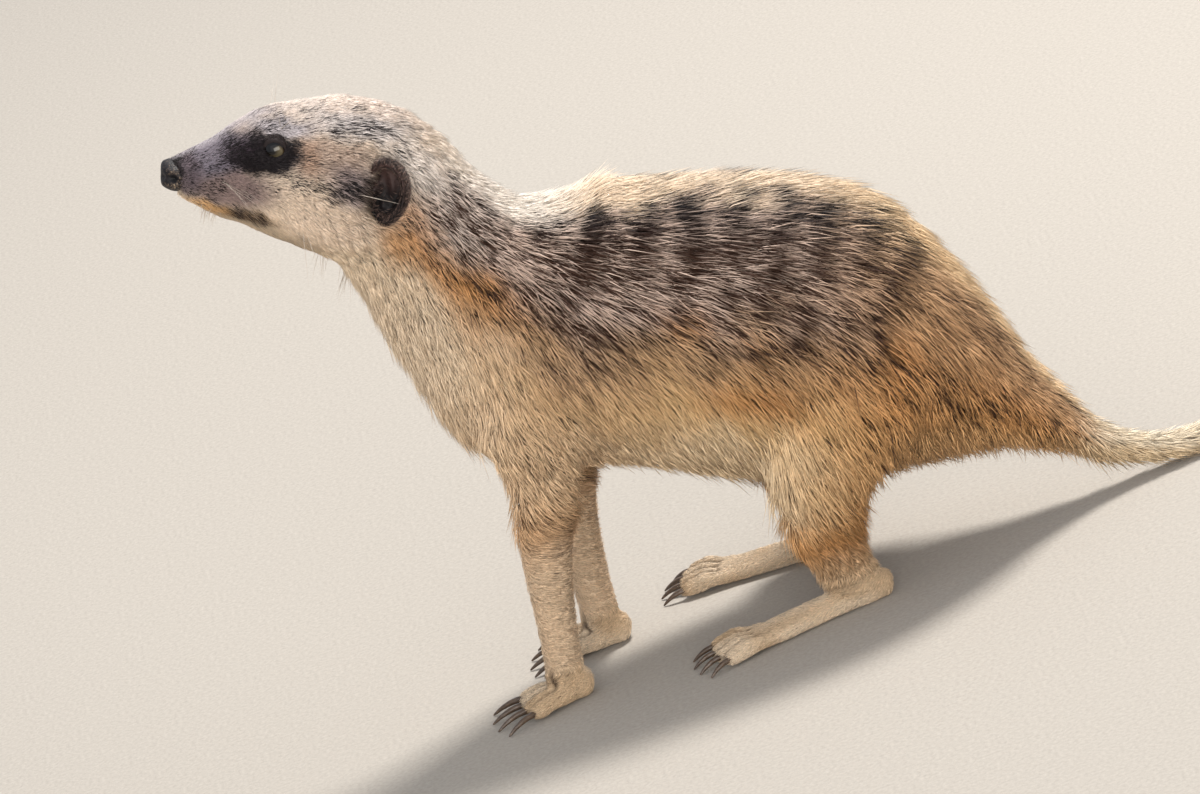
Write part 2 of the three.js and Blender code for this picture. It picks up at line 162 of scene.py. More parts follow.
# Each limb's line: where its slices start and how thick they are, as shares of its extent, the axis
# they are cut along, and the limb's half thickness at each in mm. Legs run down and feet forward.
LIMB_LINES = {
    "foreleg": ((0.62, 0.45, 0.25, 0.0), 0.1, HEIGHT, (9.5, 7, 5.6, 5.3)),
    "shank": ((0.75, 0.4, 0.0), 0.25, HEIGHT, (11.5, 9, 6)),
    "forefoot": ((0.9, 0.6, 0.3, 0.0), 0.1, FRONT_TO_BACK, (4, 4.5, 6, 6)),
    "hindfoot": ((0.9, 0.6, 0.3, 0.0), 0.1, FRONT_TO_BACK, (4, 4.5, 6, 6)),
}


def limb_line(part, side):
    """The line of one limb on one side."""
    shares, thick, axis, radii = LIMB_LINES[part]
    middles = [slice_middle(f"{part}_{side}", low, low + thick, axis) for low in shares]
    return Line(middles, np.array(radii) * MM)


legs = [limb_line(part, side) for side in SIDES for part in ("foreleg", "shank")]
feet = [limb_line(foot, side) for side in SIDES for foot in FEET]


def beside_nearest(lines, points, rows):
    """The gap from points to each line, the number of the nearest one, and that line's own rows,
    its points or its tangents, beside each point."""
    gaps = np.stack([line.gap(points) for line in lines])
    number = gaps.argmin(axis=0)
    values = np.stack([getattr(line, rows)[line.nearest(points)] for line in lines])
    return gaps, number, np.take_along_axis(values, number[None, :, None], axis=0)[0]


def along_spine(point):
    """How far along the spine a single point is."""
    i = spine.nearest(point[None, :])[0]
    return float(spine.s[i] + (point - spine.points[i]) @ spine.tangent[i])


S_EYE, S_EAR = along_spine(EYE), along_spine(EAR)
S_NECK, S_CHEST = along_spine(slice_middle("neck")), along_spine(slice_middle("chest"))
S_BELLY, S_HIPS = along_spine(slice_middle("belly")), along_spine(slice_middle("hips"))
S_TAIL = along_spine(slice_middle("tail_root", 0, 0.1, FRONT_TO_BACK))
S_TIP = float(spine.s[-1])
print("mm from nose to tail root and tip:", round(S_TAIL / MM), round(S_TIP / MM))


# %% [markdown]
# ## Fields over the body
# Soft masks say how much a point belongs to a leg, a foot, the head or the tail. The coat's depth,
# length, lie and colour all read them, so nothing changes in a step from one part to the next.


# %% Smooth steps and noise
def ramp(x, low, high):
    """0 below low, 1 above high, and 3t^2 - 2t^3 between; low may be the larger."""
    t = np.clip((x - low) / (high - low), 0, 1)
    return t * t * (3 - 2 * t)


def belt(x, low, full, fading, high):
    """0 outside low and high, and 1 between full and fading."""
    return ramp(x, low, full) * ramp(x, high, fading)


def mix(a, b, share):
    """a where share is 0 and b where it is 1, for numbers."""
    return a * (1 - share) + b * share


def mix_rows(a, b, share):
    """The same for rows, such as colours or directions, with one share for each row."""
    return mix(a, b, np.reshape(share, (-1, 1)))


LATTICE = 32


def noise(points, size, seed):
    """Smooth noise from -1 to 1: seeded values on a lattice of that size, blended between them."""
    lattice = np.random.default_rng(seed).random((LATTICE,) * 3) * 2 - 1
    q = points / size + 1000.0
    cell = np.floor(q).astype(int)
    f = q - cell
    f = f * f * (3 - 2 * f)
    total = 0.0
    for corner in np.ndindex(2, 2, 2):
        weight = np.prod(np.where(corner, f, 1 - f), axis=1)
        i, j, k = ((cell + corner) % LATTICE).T
        total = total + weight * lattice[i, j, k]
    return total


# %% The place of a point on the animal
ACROSS = np.array([0.0, 1.0, 0.0])


class Place:
    """Where points of the animal are: s along the spine, angle round it, and soft masks."""

    def __init__(self, points):
        index = spine.nearest(points)
        self.base, self.base_s = spine.points[index], spine.s[index]
        self.along = spine.tangent[index]
        up = unit(np.cross(self.along, ACROSS))
        self.up = up * np.sign(up[:, 2:] + 1e-9)
        self.measure(points)
        foot = np.min([line.gap(points) for line in feet], axis=0)
        gaps, _, self.down_leg = beside_nearest(legs, points, "tangent")
        fore, hind = gaps[0::2].min(axis=0), gaps[1::2].min(axis=0)
        z = points[:, 2]
        # Each is 1 near its line and low down, and fades outwards and upwards.
        self.foreleg = ramp(fore, 7 * MM, 1 * MM) * ramp(z, 66 * MM, 42 * MM)
        self.hindleg = ramp(hind, 7 * MM, 1 * MM) * ramp(z, 42 * MM, 22 * MM)
        self.foot = ramp(foot, 9 * MM, 6 * MM) * ramp(z, 13 * MM, 8 * MM)
        self.leg = np.clip(np.maximum(self.foreleg, self.hindleg), self.foot, 1)
        trunk = 1 - self.leg
        self.tail = ramp(self.s, S_TAIL - 12 * MM, S_TAIL + 8 * MM) * trunk
        self.head = ramp(self.s, S_EAR + 16 * MM, S_EAR - 4 * MM) * trunk
        self.face = ramp(self.s, S_EAR - 4 * MM, S_EYE) * trunk

    def measure(self, points):
        """s and angle: the part of (point - base) along the spine, and its angle from the top."""
        away = points - self.base
        self.points = points
        self.s = self.base_s + (away * self.along).sum(axis=1)
        self.angle = np.arctan2(np.abs(away[:, 1]), (away * self.up).sum(axis=1))

    def pick(self, corners, weights):
        """The same fields at places inside triangles: each is the weighted sum of its corners."""
        there = copy.copy(self)
        for name, rows in vars(self).items():
            shape = weights.shape + (1,) * (rows.ndim - 1)
            setattr(there, name, (rows[corners] * weights.reshape(shape)).sum(axis=1))
        return there

    def moved(self, points):
        """The same roots, measured at points a little further along their hairs."""
        there = copy.copy(self)
        there.measure(points)
        return there


PAD_FRONT = np.array([NOSE_TIP + 0.75 * MM, MIDDLE, 170 * MM])


def under_pad(points):
    """1 where the nose pad covers the muzzle's end, 0 behind and below it."""
    away = (points - PAD_FRONT) / MM
    behind, rise = away @ HEAD_BACK, away @ HEAD_UP
    return ramp(behind + 1.2 * np.maximum(rise, 0), 5.4, 4.4) * ramp(rise, -5.2, -4.2)


def coat_depth(place):
    """The coat's depth: thin on the face, legs and feet and round the eyes, deep on the trunk."""
    s = [0, S_EYE, S_EAR, S_NECK, S_CHEST, S_HIPS, S_TAIL, S_TAIL + 30 * MM]
    deep = np.interp(place.s, s, np.array([0.3, 1.0, 3.2, 5.2, 6.0, 6.5, 3.4, 2.2]) * MM)
    deep = mix(mix(deep, 0.8 * MM, place.foreleg), 2.6 * MM, place.hindleg)
    deep = mix(deep, 0.45 * MM, place.foot)
    deep = mix(deep, 1.7 * MM, under_pad(place.points))
    for eye in EYES.values():
        deep = mix(deep, 0.25 * MM, ramp(distance(place.points, eye), 8 * MM, 5 * MM))
    return deep


# %% [markdown]
# ## The skin
# The flesh is one piece, so no seam shows. Copies of the solids are grown a little to close the thin
# cuts between them, joined, remeshed, smoothed, and then drawn in by the coat's depth. A fine voxel
# keeps the toes and the face; the trunk, which the coat hides, is then thinned to fewer triangles.


# %% Meshes from arrays
def mesh_arrays(mesh):
    """A mesh's vertices, normals and edges as arrays."""
    edges = read(mesh.edges, "vertices", np.int32, 2)
    return read(mesh.vertices, "co"), read(mesh.vertices, "normal"), edges


def triangles_of(mesh):
    """A mesh's triangles, as rows of three vertex numbers."""
    mesh.calc_loop_triangles()
    return read(mesh.loop_triangles, "vertices", np.int32)


def set_points(mesh, points):
    """Gives a mesh new places for its vertices."""
    mesh.vertices.foreach_set("co", points.ravel())
    mesh.update()


def mesh_from(name, points, faces):
    """A mesh from rows of points and rows of faces, all with the same number of corners."""
    mesh = bpy.data.meshes.new(name)
    corners = faces.shape[1]
    mesh.vertices.add(len(points))
    mesh.vertices.foreach_set("co", np.ascontiguousarray(points, dtype=np.float32).ravel())
    mesh.loops.add(faces.size)
    mesh.loops.foreach_set("vertex_index", faces.astype(np.int32).ravel())
    mesh.polygons.add(len(faces))
    mesh.polygons.foreach_set("loop_start", np.arange(0, faces.size, corners, dtype=np.int32))
    mesh.update(calc_edges=True)
    mesh.polygons.foreach_set("use_smooth", np.ones(len(faces), dtype=bool))
    return mesh


def stacked(name, sets):
    """One mesh from several sets of points and faces."""
    starts = np.cumsum([0] + [len(points) for points, _ in sets])
    faces = [faces + start for (_, faces), start in zip(sets, starts)]
    return mesh_from(name, np.vstack([points for points, _ in sets]), np.vstack(faces))


def add_object(name, data):
    """Puts a mesh, a light or a camera in the scene, as an object that sits at the origin."""
    thing = bpy.data.objects.new(name, data)
    bpy.context.scene.collection.objects.link(thing)
    return thing


WEIGHT_STEPS = 4


def changed(mesh, kind, settings, weights=None):
    """The mesh after one modifier, as a new mesh; weights may say how much each vertex takes part."""
    thing = add_object("changed", mesh)
    modifier = thing.modifiers.new("change", kind)
    for name, value in settings.items():
        setattr(modifier, name, value)
    if weights is not None:
        group = thing.vertex_groups.new(name="share")
        levels = np.round(weights * WEIGHT_STEPS) / WEIGHT_STEPS
        for level in np.unique(levels[levels > 0]):
            group.add(np.nonzero(levels == level)[0].tolist(), float(level), "REPLACE")
        modifier.vertex_group = "share"
    graph = bpy.context.evaluated_depsgraph_get()
    result = bpy.data.meshes.new_from_object(thing.evaluated_get(graph))
    bpy.data.objects.remove(thing)
    result.polygons.foreach_set("use_smooth", np.ones(len(result.polygons), dtype=bool))
    return result


def remeshed(mesh, voxel):
    """The outer surface of a mesh of closed bodies, as even quads of about that size."""
    return changed(mesh, "REMESH", {"mode": "VOXEL", "voxel_size": voxel})


def smoothed(rows, edges, rounds, strength):
    """Each round moves every vertex's row towards the mean of its neighbours by its own strength."""
    a, b = edges.T
    count = len(rows)
    degree = np.bincount(a, minlength=count) + np.bincount(b, minlength=count)
    for _ in range(rounds):
        sums = [
            np.bincount(a, rows[b, k], count) + np.bincount(b, rows[a, k], count)
            for k in range(rows.shape[1])
        ]
        mean = np.stack(sums, axis=1) / np.maximum(degree, 1)[:, None]
        rows = rows + (mean - rows) * np.reshape(strength, (-1, 1))
    return rows


# %% The flesh, joined
FLESH = ["head", "lower_jaw", "neck", "chest", "belly", "hips"]
FLESH += ["tail_root", "tail_middle", "tail_end", "tail_tip"]
FLESH += [f"{part}_{side}" for side in SIDES for part in ("foreleg", "thigh", "shank")]
FLESH += [f"{foot}_{side}" for side in SIDES for foot in FEET]
GROW, SAME_PLACE = 0.28 * MM, 0.001 * MM
FLESH_VOXEL, SKIN_VOXEL = 0.75 * MM, 0.6 * MM
SKIN_TRIANGLES = 186000


def merged(node):
    """A node's surface with shared corners: vertices at the same place become one."""
    places = np.round(node_vertices(node) / SAME_PLACE).astype(int)
    places, number = np.unique(places, axis=0, return_inverse=True)
    faces = number.reshape(-1)[triangles_of(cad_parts[node].data)]
    return mesh_from(node, places * SAME_PLACE, faces)


def joined(nodes, grow=0.0):
    """Nodes as one mesh, each grown along its vertex normals to overlap its neighbours."""
    sets = []
    for mesh in map(merged, nodes):
        points, normals, _ = mesh_arrays(mesh)
        sets.append((points + normals * grow, triangles_of(mesh)))
    return stacked("joined", sets)


# %% [markdown]
# The solids' legs meet the feet at a plain cut, and their toes are short. A wrist that fills the
# notch and a tube for each toe, laid back from its claw, join the flesh before it is remeshed.


# %% Tubes along paths
def ring_faces(rings, turns, wrap=False):
    """Triangles over rings of so many turns; the rings wrap round, or end in two poles, numbered last."""
    ring, turn = np.meshgrid(np.arange(rings - 1 + wrap), np.arange(turns), indexing="ij")
    after, beside = (ring + 1) % rings, (turn + 1) % turns
    quads = [ring * turns + turn, after * turns + turn, after * turns + beside, ring * turns + beside]
    a, b, c, d = (part.ravel() for part in quads)
    faces = [(a, b, c), (a, c, d)]
    if not wrap:
        start, end = np.arange(turns), (rings - 1) * turns + np.arange(turns)
        pole = np.full(turns, rings * turns)
        faces += [(pole, start, np.roll(start, -1)), (pole + 1, np.roll(end, -1), end)]
    return np.vstack([np.stack(face, axis=1) for face in faces])


def tubes(paths, radii, sides):
    """Closed round tubes: c(t) + r(t) (cos a u + sin a v) along each path, with a pole at each end."""
    count, steps, _ = paths.shape
    along = unit(np.gradient(paths, axis=1))
    u = unit(np.cross(along, [0.13, 0.2, 1.0]))
    v = np.cross(u, along)
    a = np.arange(sides)[:, None] * 2 * np.pi / sides
    circle = np.cos(a) * u[:, :, None] + np.sin(a) * v[:, :, None]
    rings = paths[:, :, None] + radii[:, :, None, None] * circle
    ends = [paths[:, :1], paths[:, -1:]]
    places = np.concatenate([rings.reshape(count, -1, 3), *ends], axis=1)
    faces = ring_faces(steps, sides)[None] + np.arange(count)[:, None, None] * places.shape[1]
    return places.reshape(-1, 3), faces.reshape(-1, 3)


# %% Wrists and toes
CLAWS = [
    [f"claw_{foot}_{side}_{number}" for number in range(1, 5)]
    for side in SIDES
    for foot in FEET
]
TOE_LENGTH, TOE_RADIUS, TOE_HEIGHT = 10 * MM, 2.35 * MM, 2.9 * MM
LEVEL = np.array([1, 1, 0])  # keeps X and Y and drops the height


def claw_root(claw):
    """Where a claw leaves its toe, and the level direction it points."""
    root = slice_middle(claw, 0.8, 1.0, FRONT_TO_BACK)
    way = slice_middle(claw, 0.0, 0.15, FRONT_TO_BACK) - root
    return root, unit(way * LEVEL)


def toe_paths():
    """Each toe as points from the ball of the foot to a little past its claw's root."""
    roots, ways = (np.array(rows) for rows in zip(*(claw_root(c) for foot in CLAWS for c in foot)))
    roots[:, 2] = TOE_HEIGHT
    steps = np.array([-1.0, -0.75, -0.5, -0.25, 0.0, 0.16])
    paths = roots[:, None] + ways[:, None] * (steps * TOE_LENGTH)[None, :, None]
    knuckle = np.array([0.2, 0.5, 0.9, 0.5, 0.0, -0.5]) * MM
    paths[:, :, 2] += knuckle
    radii = TOE_RADIUS * np.array([0.7, 0.95, 1.0, 0.92, 0.95, 0.6])
    return paths, np.repeat(radii[None], len(paths), axis=0)


def wrist_paths():
    """A short thick tube down and forward from the end of each foreleg, into its foot."""
    paths = []
    for side in SIDES:
        leg, foot = slice_middle(f"foreleg_{side}", 0, 0.08), slice_middle(f"forefoot_{side}")
        forward = (foot - leg) * LEVEL
        rise = np.array([9.0, 5.0, 0.0, -2.5, -4.6]) * MM
        reach = np.array([0.0, 0.05, 0.25, 0.65, 1.1])[:, None]
        paths.append(leg + forward * reach + np.outer(rise, [0, 0, 1]))
    radii = np.array([4.6, 5.4, 5.6, 4.6, 2.6]) * MM
    return np.array(paths), np.repeat(radii[None], len(paths), axis=0)


# %% The skin, drawn in by the coat's depth
TUBE_SIDES = 12
flesh = joined(FLESH + ["nose"], GROW)
limbs = [tubes(*paths, TUBE_SIDES) for paths in (toe_paths(), wrist_paths())]
flesh = stacked("flesh", [(read(flesh.vertices, "co"), triangles_of(flesh)), *limbs])
flesh = remeshed(flesh, FLESH_VOXEL)
points, _, edges = mesh_arrays(flesh)
place = Place(points)
fine = np.maximum(place.foot, place.face * 0.7)
points = smoothed(points, edges, 16, mix(0.6, 0.08, fine))
set_points(flesh, points)
points, normals, edges = mesh_arrays(flesh)
depth = smoothed(coat_depth(Place(points))[:, None], edges, 12, 0.6)
set_points(flesh, points - normals * depth)
skin_mesh = remeshed(flesh, SKIN_VOXEL)
points, normals, edges = mesh_arrays(skin_mesh)
place = Place(points)
fine = np.maximum(place.foot, place.face)
points = smoothed(points, edges, 8, mix(0.5, 0.12, fine))
points[:, 2] = np.maximum(points[:, 2], 0)
set_points(skin_mesh, points)
print("fine skin:", len(points), "vertices")

# %% The trunk's skin, thinned
coarse = np.clip(1 - np.maximum(place.foot, ramp(place.head, 0, 0.3)), 0, 1)
share = SKIN_TRIANGLES / len(triangles_of(skin_mesh))
skin_mesh = changed(skin_mesh, "DECIMATE", {"ratio": share}, weights=coarse)
points, normals, edges = mesh_arrays(skin_mesh)
triangles = triangles_of(skin_mesh)
print("skin:", len(points), "vertices,", len(triangles), "triangles")

# %% [markdown]
# ## The mouth
# The lips meet in a line from under the nose to below the eye. The lower jaw's solid ends at that
# line, so its top edge, read slice by slice, is the path of a shallow groove pressed into the skin.


# %% The line of the mouth
def mouth_line(sign):
    """The top of the lower jaw's outer edge on one side, from front to back."""
    rows = []
    for low in np.linspace(0.08, 0.9, 7):
        part = slice_of("lower_jaw", low - 0.08, low + 0.08, FRONT_TO_BACK)
        out = (part[:, 1] - MIDDLE) * sign
        outer = part[out > 0.6 * out.max()]
        rows.append(outer[outer[:, 2].argmax()])
    return Line(rows)


LIP_DEPTH, LIP_WIDTH = 0.55 * MM, 0.5 * MM
lips = [mouth_line(sign) for sign in SIDES.values()]


def pressed(points, normals, lines, depth, width):
    """Points pushed in along lines: by depth x exp(-(distance / width)^2)."""
    gap = np.min([line.gap(points) for line in lines], axis=0)
    return points - normals * (depth * np.exp(-((gap / width) ** 2)))[:, None]


points = pressed(points, normals, lips, LIP_DEPTH, LIP_WIDTH)
print("mouth line", (lips[0].s[-1] / MM).round(1), "mm long, from", lips[0].points[0].round(4))

# %% [markdown]
# The same press parts the toes: a line runs back from halfway between two claws, over the foot.

# %% The clefts between the toes
CLEFT_DEPTH, CLEFT_WIDTH, CLEFT_LENGTH = 2.4 * MM, 0.85 * MM, 9 * MM
FOOT_TOP = 9 * MM


def cleft(claw, next_claw):
    """A line between two neighbouring toes, along the top of the foot."""
    (root, way), (next_root, next_way) = claw_root(claw), claw_root(next_claw)
    middle, back = (root + next_root) / 2, -unit(way + next_way)
    steps = np.array([-0.4, 0.2, 0.6, 1.0])[:, None] * CLEFT_LENGTH
    return Line((middle + back * steps) * LEVEL)


clefts = [cleft(*pair) for foot in CLAWS for pair in zip(foot, foot[1:])]
on_top = np.clip(2 * normals[:, 2:], 0, 1) * (points[:, 2:] < FOOT_TOP)
pushed = pressed(points * LEVEL, normals * on_top, clefts, CLEFT_DEPTH, CLEFT_WIDTH)
points = pushed + points * (1 - LEVEL)
set_points(skin_mesh, points)
points, normals, edges = mesh_arrays(skin_mesh)

# %% [markdown]
# ## Markings
# One function gives the colour of skin and coat alike: a pale hair colour, a dark hair colour, and
# the share of dark hairs. On the skin the two are blended; in the coat each tuft is one or the other,
# so a meerkat's grizzle comes out by itself. Head marks are ovals set out from the eye; the bands
# cross the back at their own distances behind the nose.


# %% Hair colours
def tone(red, green, blue):
    """A colour from 0 to 255 as displayed, turned into linear light."""
    c = np.array([red, green, blue]) / 255
    return np.where(c <= 0.04045, c / 12.92, ((c + 0.055) / 1.055) ** 2.4)


CREAM, GOLD, STRAW = tone(240, 218, 190), tone(238, 202, 150), tone(238, 216, 190)
BEIGE, SAND, TAN = tone(206, 182, 167), tone(212, 174, 130), tone(200, 164, 128)
ORANGE, SILVER = tone(212, 146, 78), tone(212, 204, 202)
UMBER, SOOT = tone(62, 38, 25), tone(23, 15, 18)

# %% Marks on the head
# Each mark: how far back and up from the eye, half length and half height (mm), tilt (degrees, rear
# end up), the pale colour there or None, the share of dark hair, how strongly it takes over, and how
# soft its edge is.
HEAD_MARKS = [
    ("top_of_head", 16, 13.5, 32, 7.5, -6, tone(238, 222, 210), 0.1, 0.9, 0.4),
    ("temple", 13, -1.2, 11, 5, -5, tone(186, 162, 146), 0.18, 0.85, 0.4),
    ("behind_eye", 7.8, -0.6, 2.4, 4, 10, tone(178, 132, 98), 0.2, 0.4, 0.8),
    ("cheek", 14, -17, 15, 8.5, -4, tone(238, 216, 194), 0.0, 0.9, 0.4),
    ("crown_stripe", 22, 5.6, 14, 2.6, -9, SILVER, 0.48, 0.85, 0.6),
    ("nape_stripe", 38, -5.5, 12, 4.6, -42, tone(238, 228, 220), 0.24, 0.85, 0.5),
    ("nape_dark", 48, -20, 9, 9, -35, tone(222, 206, 196), 0.5, 0.75, 0.7),
    ("brow", 1.0, 5.6, 8.5, 2.3, -2, tone(192, 185, 190), 0.32, 0.9, 0.5),
    ("muzzle_low", -13.6, -10, 12, 6.5, -8, tone(140, 118, 116), 0.3, 0.9, 0.4),
    ("muzzle_top", -15, -2.0, 12, 4.8, 22, tone(148, 140, 152), 0.33, 0.95, 0.4),
    ("nose_end", -24, -7, 4, 6.5, 20, tone(112, 98, 104), 0.35, 0.85, 0.4),
    ("under_pad", -30.0, -6, 5.0, 6, 20, tone(30, 24, 27), 0.9, 1.0, 0.3),
    ("fleck", 9.5, -7.8, 7.5, 2.6, -6, None, 0.52, 0.85, 0.8),
    ("ear_front", 20.0, -8.0, 6.5, 4.8, -28, tone(152, 136, 136), 0.56, 0.9, 0.6),
    ("lip", -8.5, -18.2, 8.5, 1.9, -6, tone(140, 112, 84), 0.62, 0.9, 0.5),
    ("chin", -18, -16.6, 5, 1.8, -18, tone(218, 170, 112), 0.22, 0.8, 0.6),
    ("eye_patch", -1.8, -1.1, 7.8, 4.5, 12, tone(50, 36, 42), 0.95, 1.0, 0.36),
    ("eye_corner", -9.0, -0.6, 5.4, 3.4, 30, tone(74, 58, 70), 0.72, 0.85, 0.7),
    ("below_ear", 31, -24.5, 4, 6, 24, tone(206, 146, 78), 0.16, 0.7, 1.0),
    ("dark_of_neck", 37.5, -28.5, 4, 2.4, -20, None, 0.5, 0.6, 0.6),
    ("neck_side", 47.5, -40, 4.5, 13, 24, tone(210, 152, 88), 0.28, 0.42, 1.0),
]


def oval(back, rise, mark):
    """1 well inside a mark's oval and 0 outside, by distance in the oval's own turned axes."""
    _, at_back, at_rise, half_back, half_rise, tilt, _, _, _, soft = mark
    c, s = math.cos(math.radians(tilt)), math.sin(math.radians(tilt))
    x, z = back - at_back, rise - at_rise
    away = np.hypot((c * x + s * z) / half_back, (c * z - s * x) / half_rise)
    return ramp(away, 1 + soft, 1 - soft)


def head_marks(place, pale, share):
    """Lays the head's marks over a pale colour and a dark share."""
    away = (place.points - EYE) / MM
    wander = 0.7 * noise(place.points, 2.2 * MM, 21) + 0.5 * noise(place.points, 5 * MM, 22)
    back, rise = away @ HEAD_BACK + wander, away @ HEAD_UP + wander
    for mark in HEAD_MARKS:
        colour, dark, strength = mark[6:9]
        inside = oval(back, rise, mark) * strength
        share = mix(share, dark, inside)
        if colour is not None:
            pale = mix_rows(pale, colour, inside)
    return pale, share


# %% Marks on the body
# The middles of the dark bands at the top of the back, in mm behind the nose, and half a band's width.
BANDS = np.array([113.5, 127.5, 140, 153.5, 166, 178.5, 190.5, 201])
BAND_HALF = 3.0
BLACK_TIP = 36 * MM  # the length of the tail's black end
# The dark gap between toes is painted shade.
CLEFT_SHADE_HALF = 0.8 * MM  # half the width of the dark gap between two toes


def stripes(place):
    """The dark bands: exp(-(u / half)^4) about each one's middle. They lean forward as they go down
    the side, the rear ones more, wander with noise, and break into spots below."""
    p, angle = place.points, place.angle
    behind = (p - NOSE) @ HEAD_BACK / MM
    lean = mix(5.0, 12.0, ramp(behind, 115, 195)) * angle
    wander = 2.0 * noise(p, 9 * MM, 5) + 1.0 * noise(p, 4 * MM, 6)
    away = np.abs((behind + lean + wander)[:, None] - BANDS).min(axis=1)
    band = np.exp(-((away / BAND_HALF) ** 4))
    broken = ramp(noise(p, 6.5 * MM, 9) + 0.7 * ramp(angle, 1.2, 0.7), -0.3, 0.1)
    spotted = ramp(noise(p, 5 * MM, 10), -0.1, 0.3) * ramp(angle, 0.04, 0.2)
    low = mix(0.95, 1.45, ramp(behind, 120, 145)) - 0.3 * ramp(behind, 175, 195)
    above = mix(spotted * ramp(behind, 112, 124), 1, ramp(angle, 0.24, 0.4))
    return band * above * ramp(angle, low + 0.3, low) * mix(1, broken, ramp(angle, 0.5, 0.85))


# The trunk's hair from the back round to the belly: angle, pale colour and share of dark hairs.
ROUND_TRUNK = [
    (0.0, STRAW, 0.06),
    (0.2, STRAW, 0.14),
    (0.36, BEIGE, 0.58),
    (1.15, BEIGE, 0.6),
    (1.5, TAN, 0.4),
    (1.8, SAND, 0.18),
    (2.05, GOLD, 0.04),
    (2.4, tone(250, 224, 186), 0.01),
]
ROUND_HIPS = [
    (0.0, tone(240, 210, 170), 0.04),
    (0.32, tone(238, 206, 164), 0.1),
    (0.55, TAN, 0.46),
    (1.3, tone(214, 168, 122), 0.36),
    (1.6, tone(222, 168, 112), 0.36),
    (1.95, tone(218, 168, 112), 0.3),
    (2.3, tone(224, 180, 128), 0.16),
]


def round_body(angle, table):
    """Reads such a table at angles: the colour rows and the shares, blended between its rows."""
    stops = [row[0] for row in table]
    pale = np.stack([np.interp(angle, stops, [row[1][k] for row in table]) for k in range(3)], axis=1)
    return pale, np.interp(angle, stops, [row[2] for row in table])


# %% [markdown]
# The coat's colours are layers: the trunk's first, then tail, legs, feet and head over it. Each layer
# has a pale colour, a share of dark hairs and a mask that says where it counts.


# %% Layers of colour on trunk and neck
def lay(coat, colour, dark, inside):
    """Lays a pale colour and a dark share over a coat's own, as far as inside says."""
    pale, share = coat
    return mix_rows(pale, colour, inside), mix(share, dark, inside)


def trunk_coat(place, patchy):
    """Trunk and neck: from the back round to the belly, rusty on the flank, with the dark bands."""
    p, s, angle = place.points, place.s, place.angle
    shoulder = np.exp(-(((s - S_CHEST + 4 * MM) / (24 * MM)) ** 2))
    trunk = round_body(angle + 0.2 * patchy - 0.16 * shoulder, ROUND_TRUNK)
    hips = round_body(angle + 0.12 * patchy, ROUND_HIPS)
    pale, share = lay(trunk, *hips, ramp(s, S_BELLY, S_HIPS))
    share = share + 0.14 * patchy * belt(angle, 0.1, 0.4, 1.5, 1.9)
    rust = ramp(noise(p, 16 * MM, 4), -0.3, 0.5) * belt(angle, 1.1, 1.4, 1.85, 2.15)
    rust = rust * (1 - shoulder) * (1 - 0.8 * ramp(s, S_HIPS, S_HIPS + 24 * MM))
    pale = mix_rows(pale, ORANGE, 0.85 * rust)
    share = share + 0.1 * shoulder * belt(angle, 0.4, 0.6, 1.0, 1.3)
    breast = shoulder * ramp(angle, 1.5, 1.9)
    pale, share = mix_rows(pale, tone(216, 180, 144), 0.6 * breast), share + 0.1 * breast
    neck = ramp(s, S_CHEST - 4 * MM, S_NECK + 6 * MM)
    throat = neck * ramp(angle + 0.1 * patchy, 1.6, 2.0)
    pale, share = lay((pale, share), CREAM, 0.05, throat)
    # The top of the nape is pale, and painted paler still as if sunlit: partly its own colour, partly
    # painted light.
    pale = mix_rows(pale, tone(252, 242, 230), neck * ramp(angle, 0.7, 0.35))
    share = mix(share, 0.03, neck * ramp(angle, 0.55, 0.25))
    share = share - 0.16 * belt(angle, 0.3, 0.45, 1.2, 1.5)  # paler between the bands
    return pale, mix(share, 0.98, stripes(place))


# %% Legs, toes and the tail's end
def leg_coat(place, foot_pale):
    """Legs: tan above and pale at the feet, with dark hairs only higher up."""
    z = place.points[:, 2]
    fore_pale = mix_rows(tone(232, 204, 172), tone(194, 150, 106), ramp(z, 34 * MM, 60 * MM))
    hind_pale = mix_rows(foot_pale, tone(206, 146, 82), ramp(z, 6 * MM, 26 * MM))
    fore_share = 0.05 + 0.2 * ramp(z, 36 * MM, 60 * MM)
    hind_share = 0.34 * ramp(z, 18 * MM, 36 * MM)
    return lay((hind_pale, hind_share), fore_pale, fore_share, place.foreleg)


def toe_cleft_shade(place):
    """1 in the clefts between the toes, where painted shade lies, and 0 on the toes."""
    between = np.zeros(len(place.points))
    near = np.nonzero(place.foot > 0.1)[0]
    gap = np.min([line.gap(place.points[near] * LEVEL) for line in clefts], axis=0)
    between[near] = np.exp(-((gap / CLEFT_SHADE_HALF) ** 2))
    return between * place.foot


def tail_end(place, patchy):
    """1 in the tail's black end, counted along the spine or from its last point."""
    start = S_TIP - BLACK_TIP
    tip = ramp(place.s + 4 * MM * patchy, start - 6 * MM, start + 6 * MM)
    return np.maximum(tip, ramp(distance(place.points, spine.points[-1]), 18 * MM, 12 * MM))


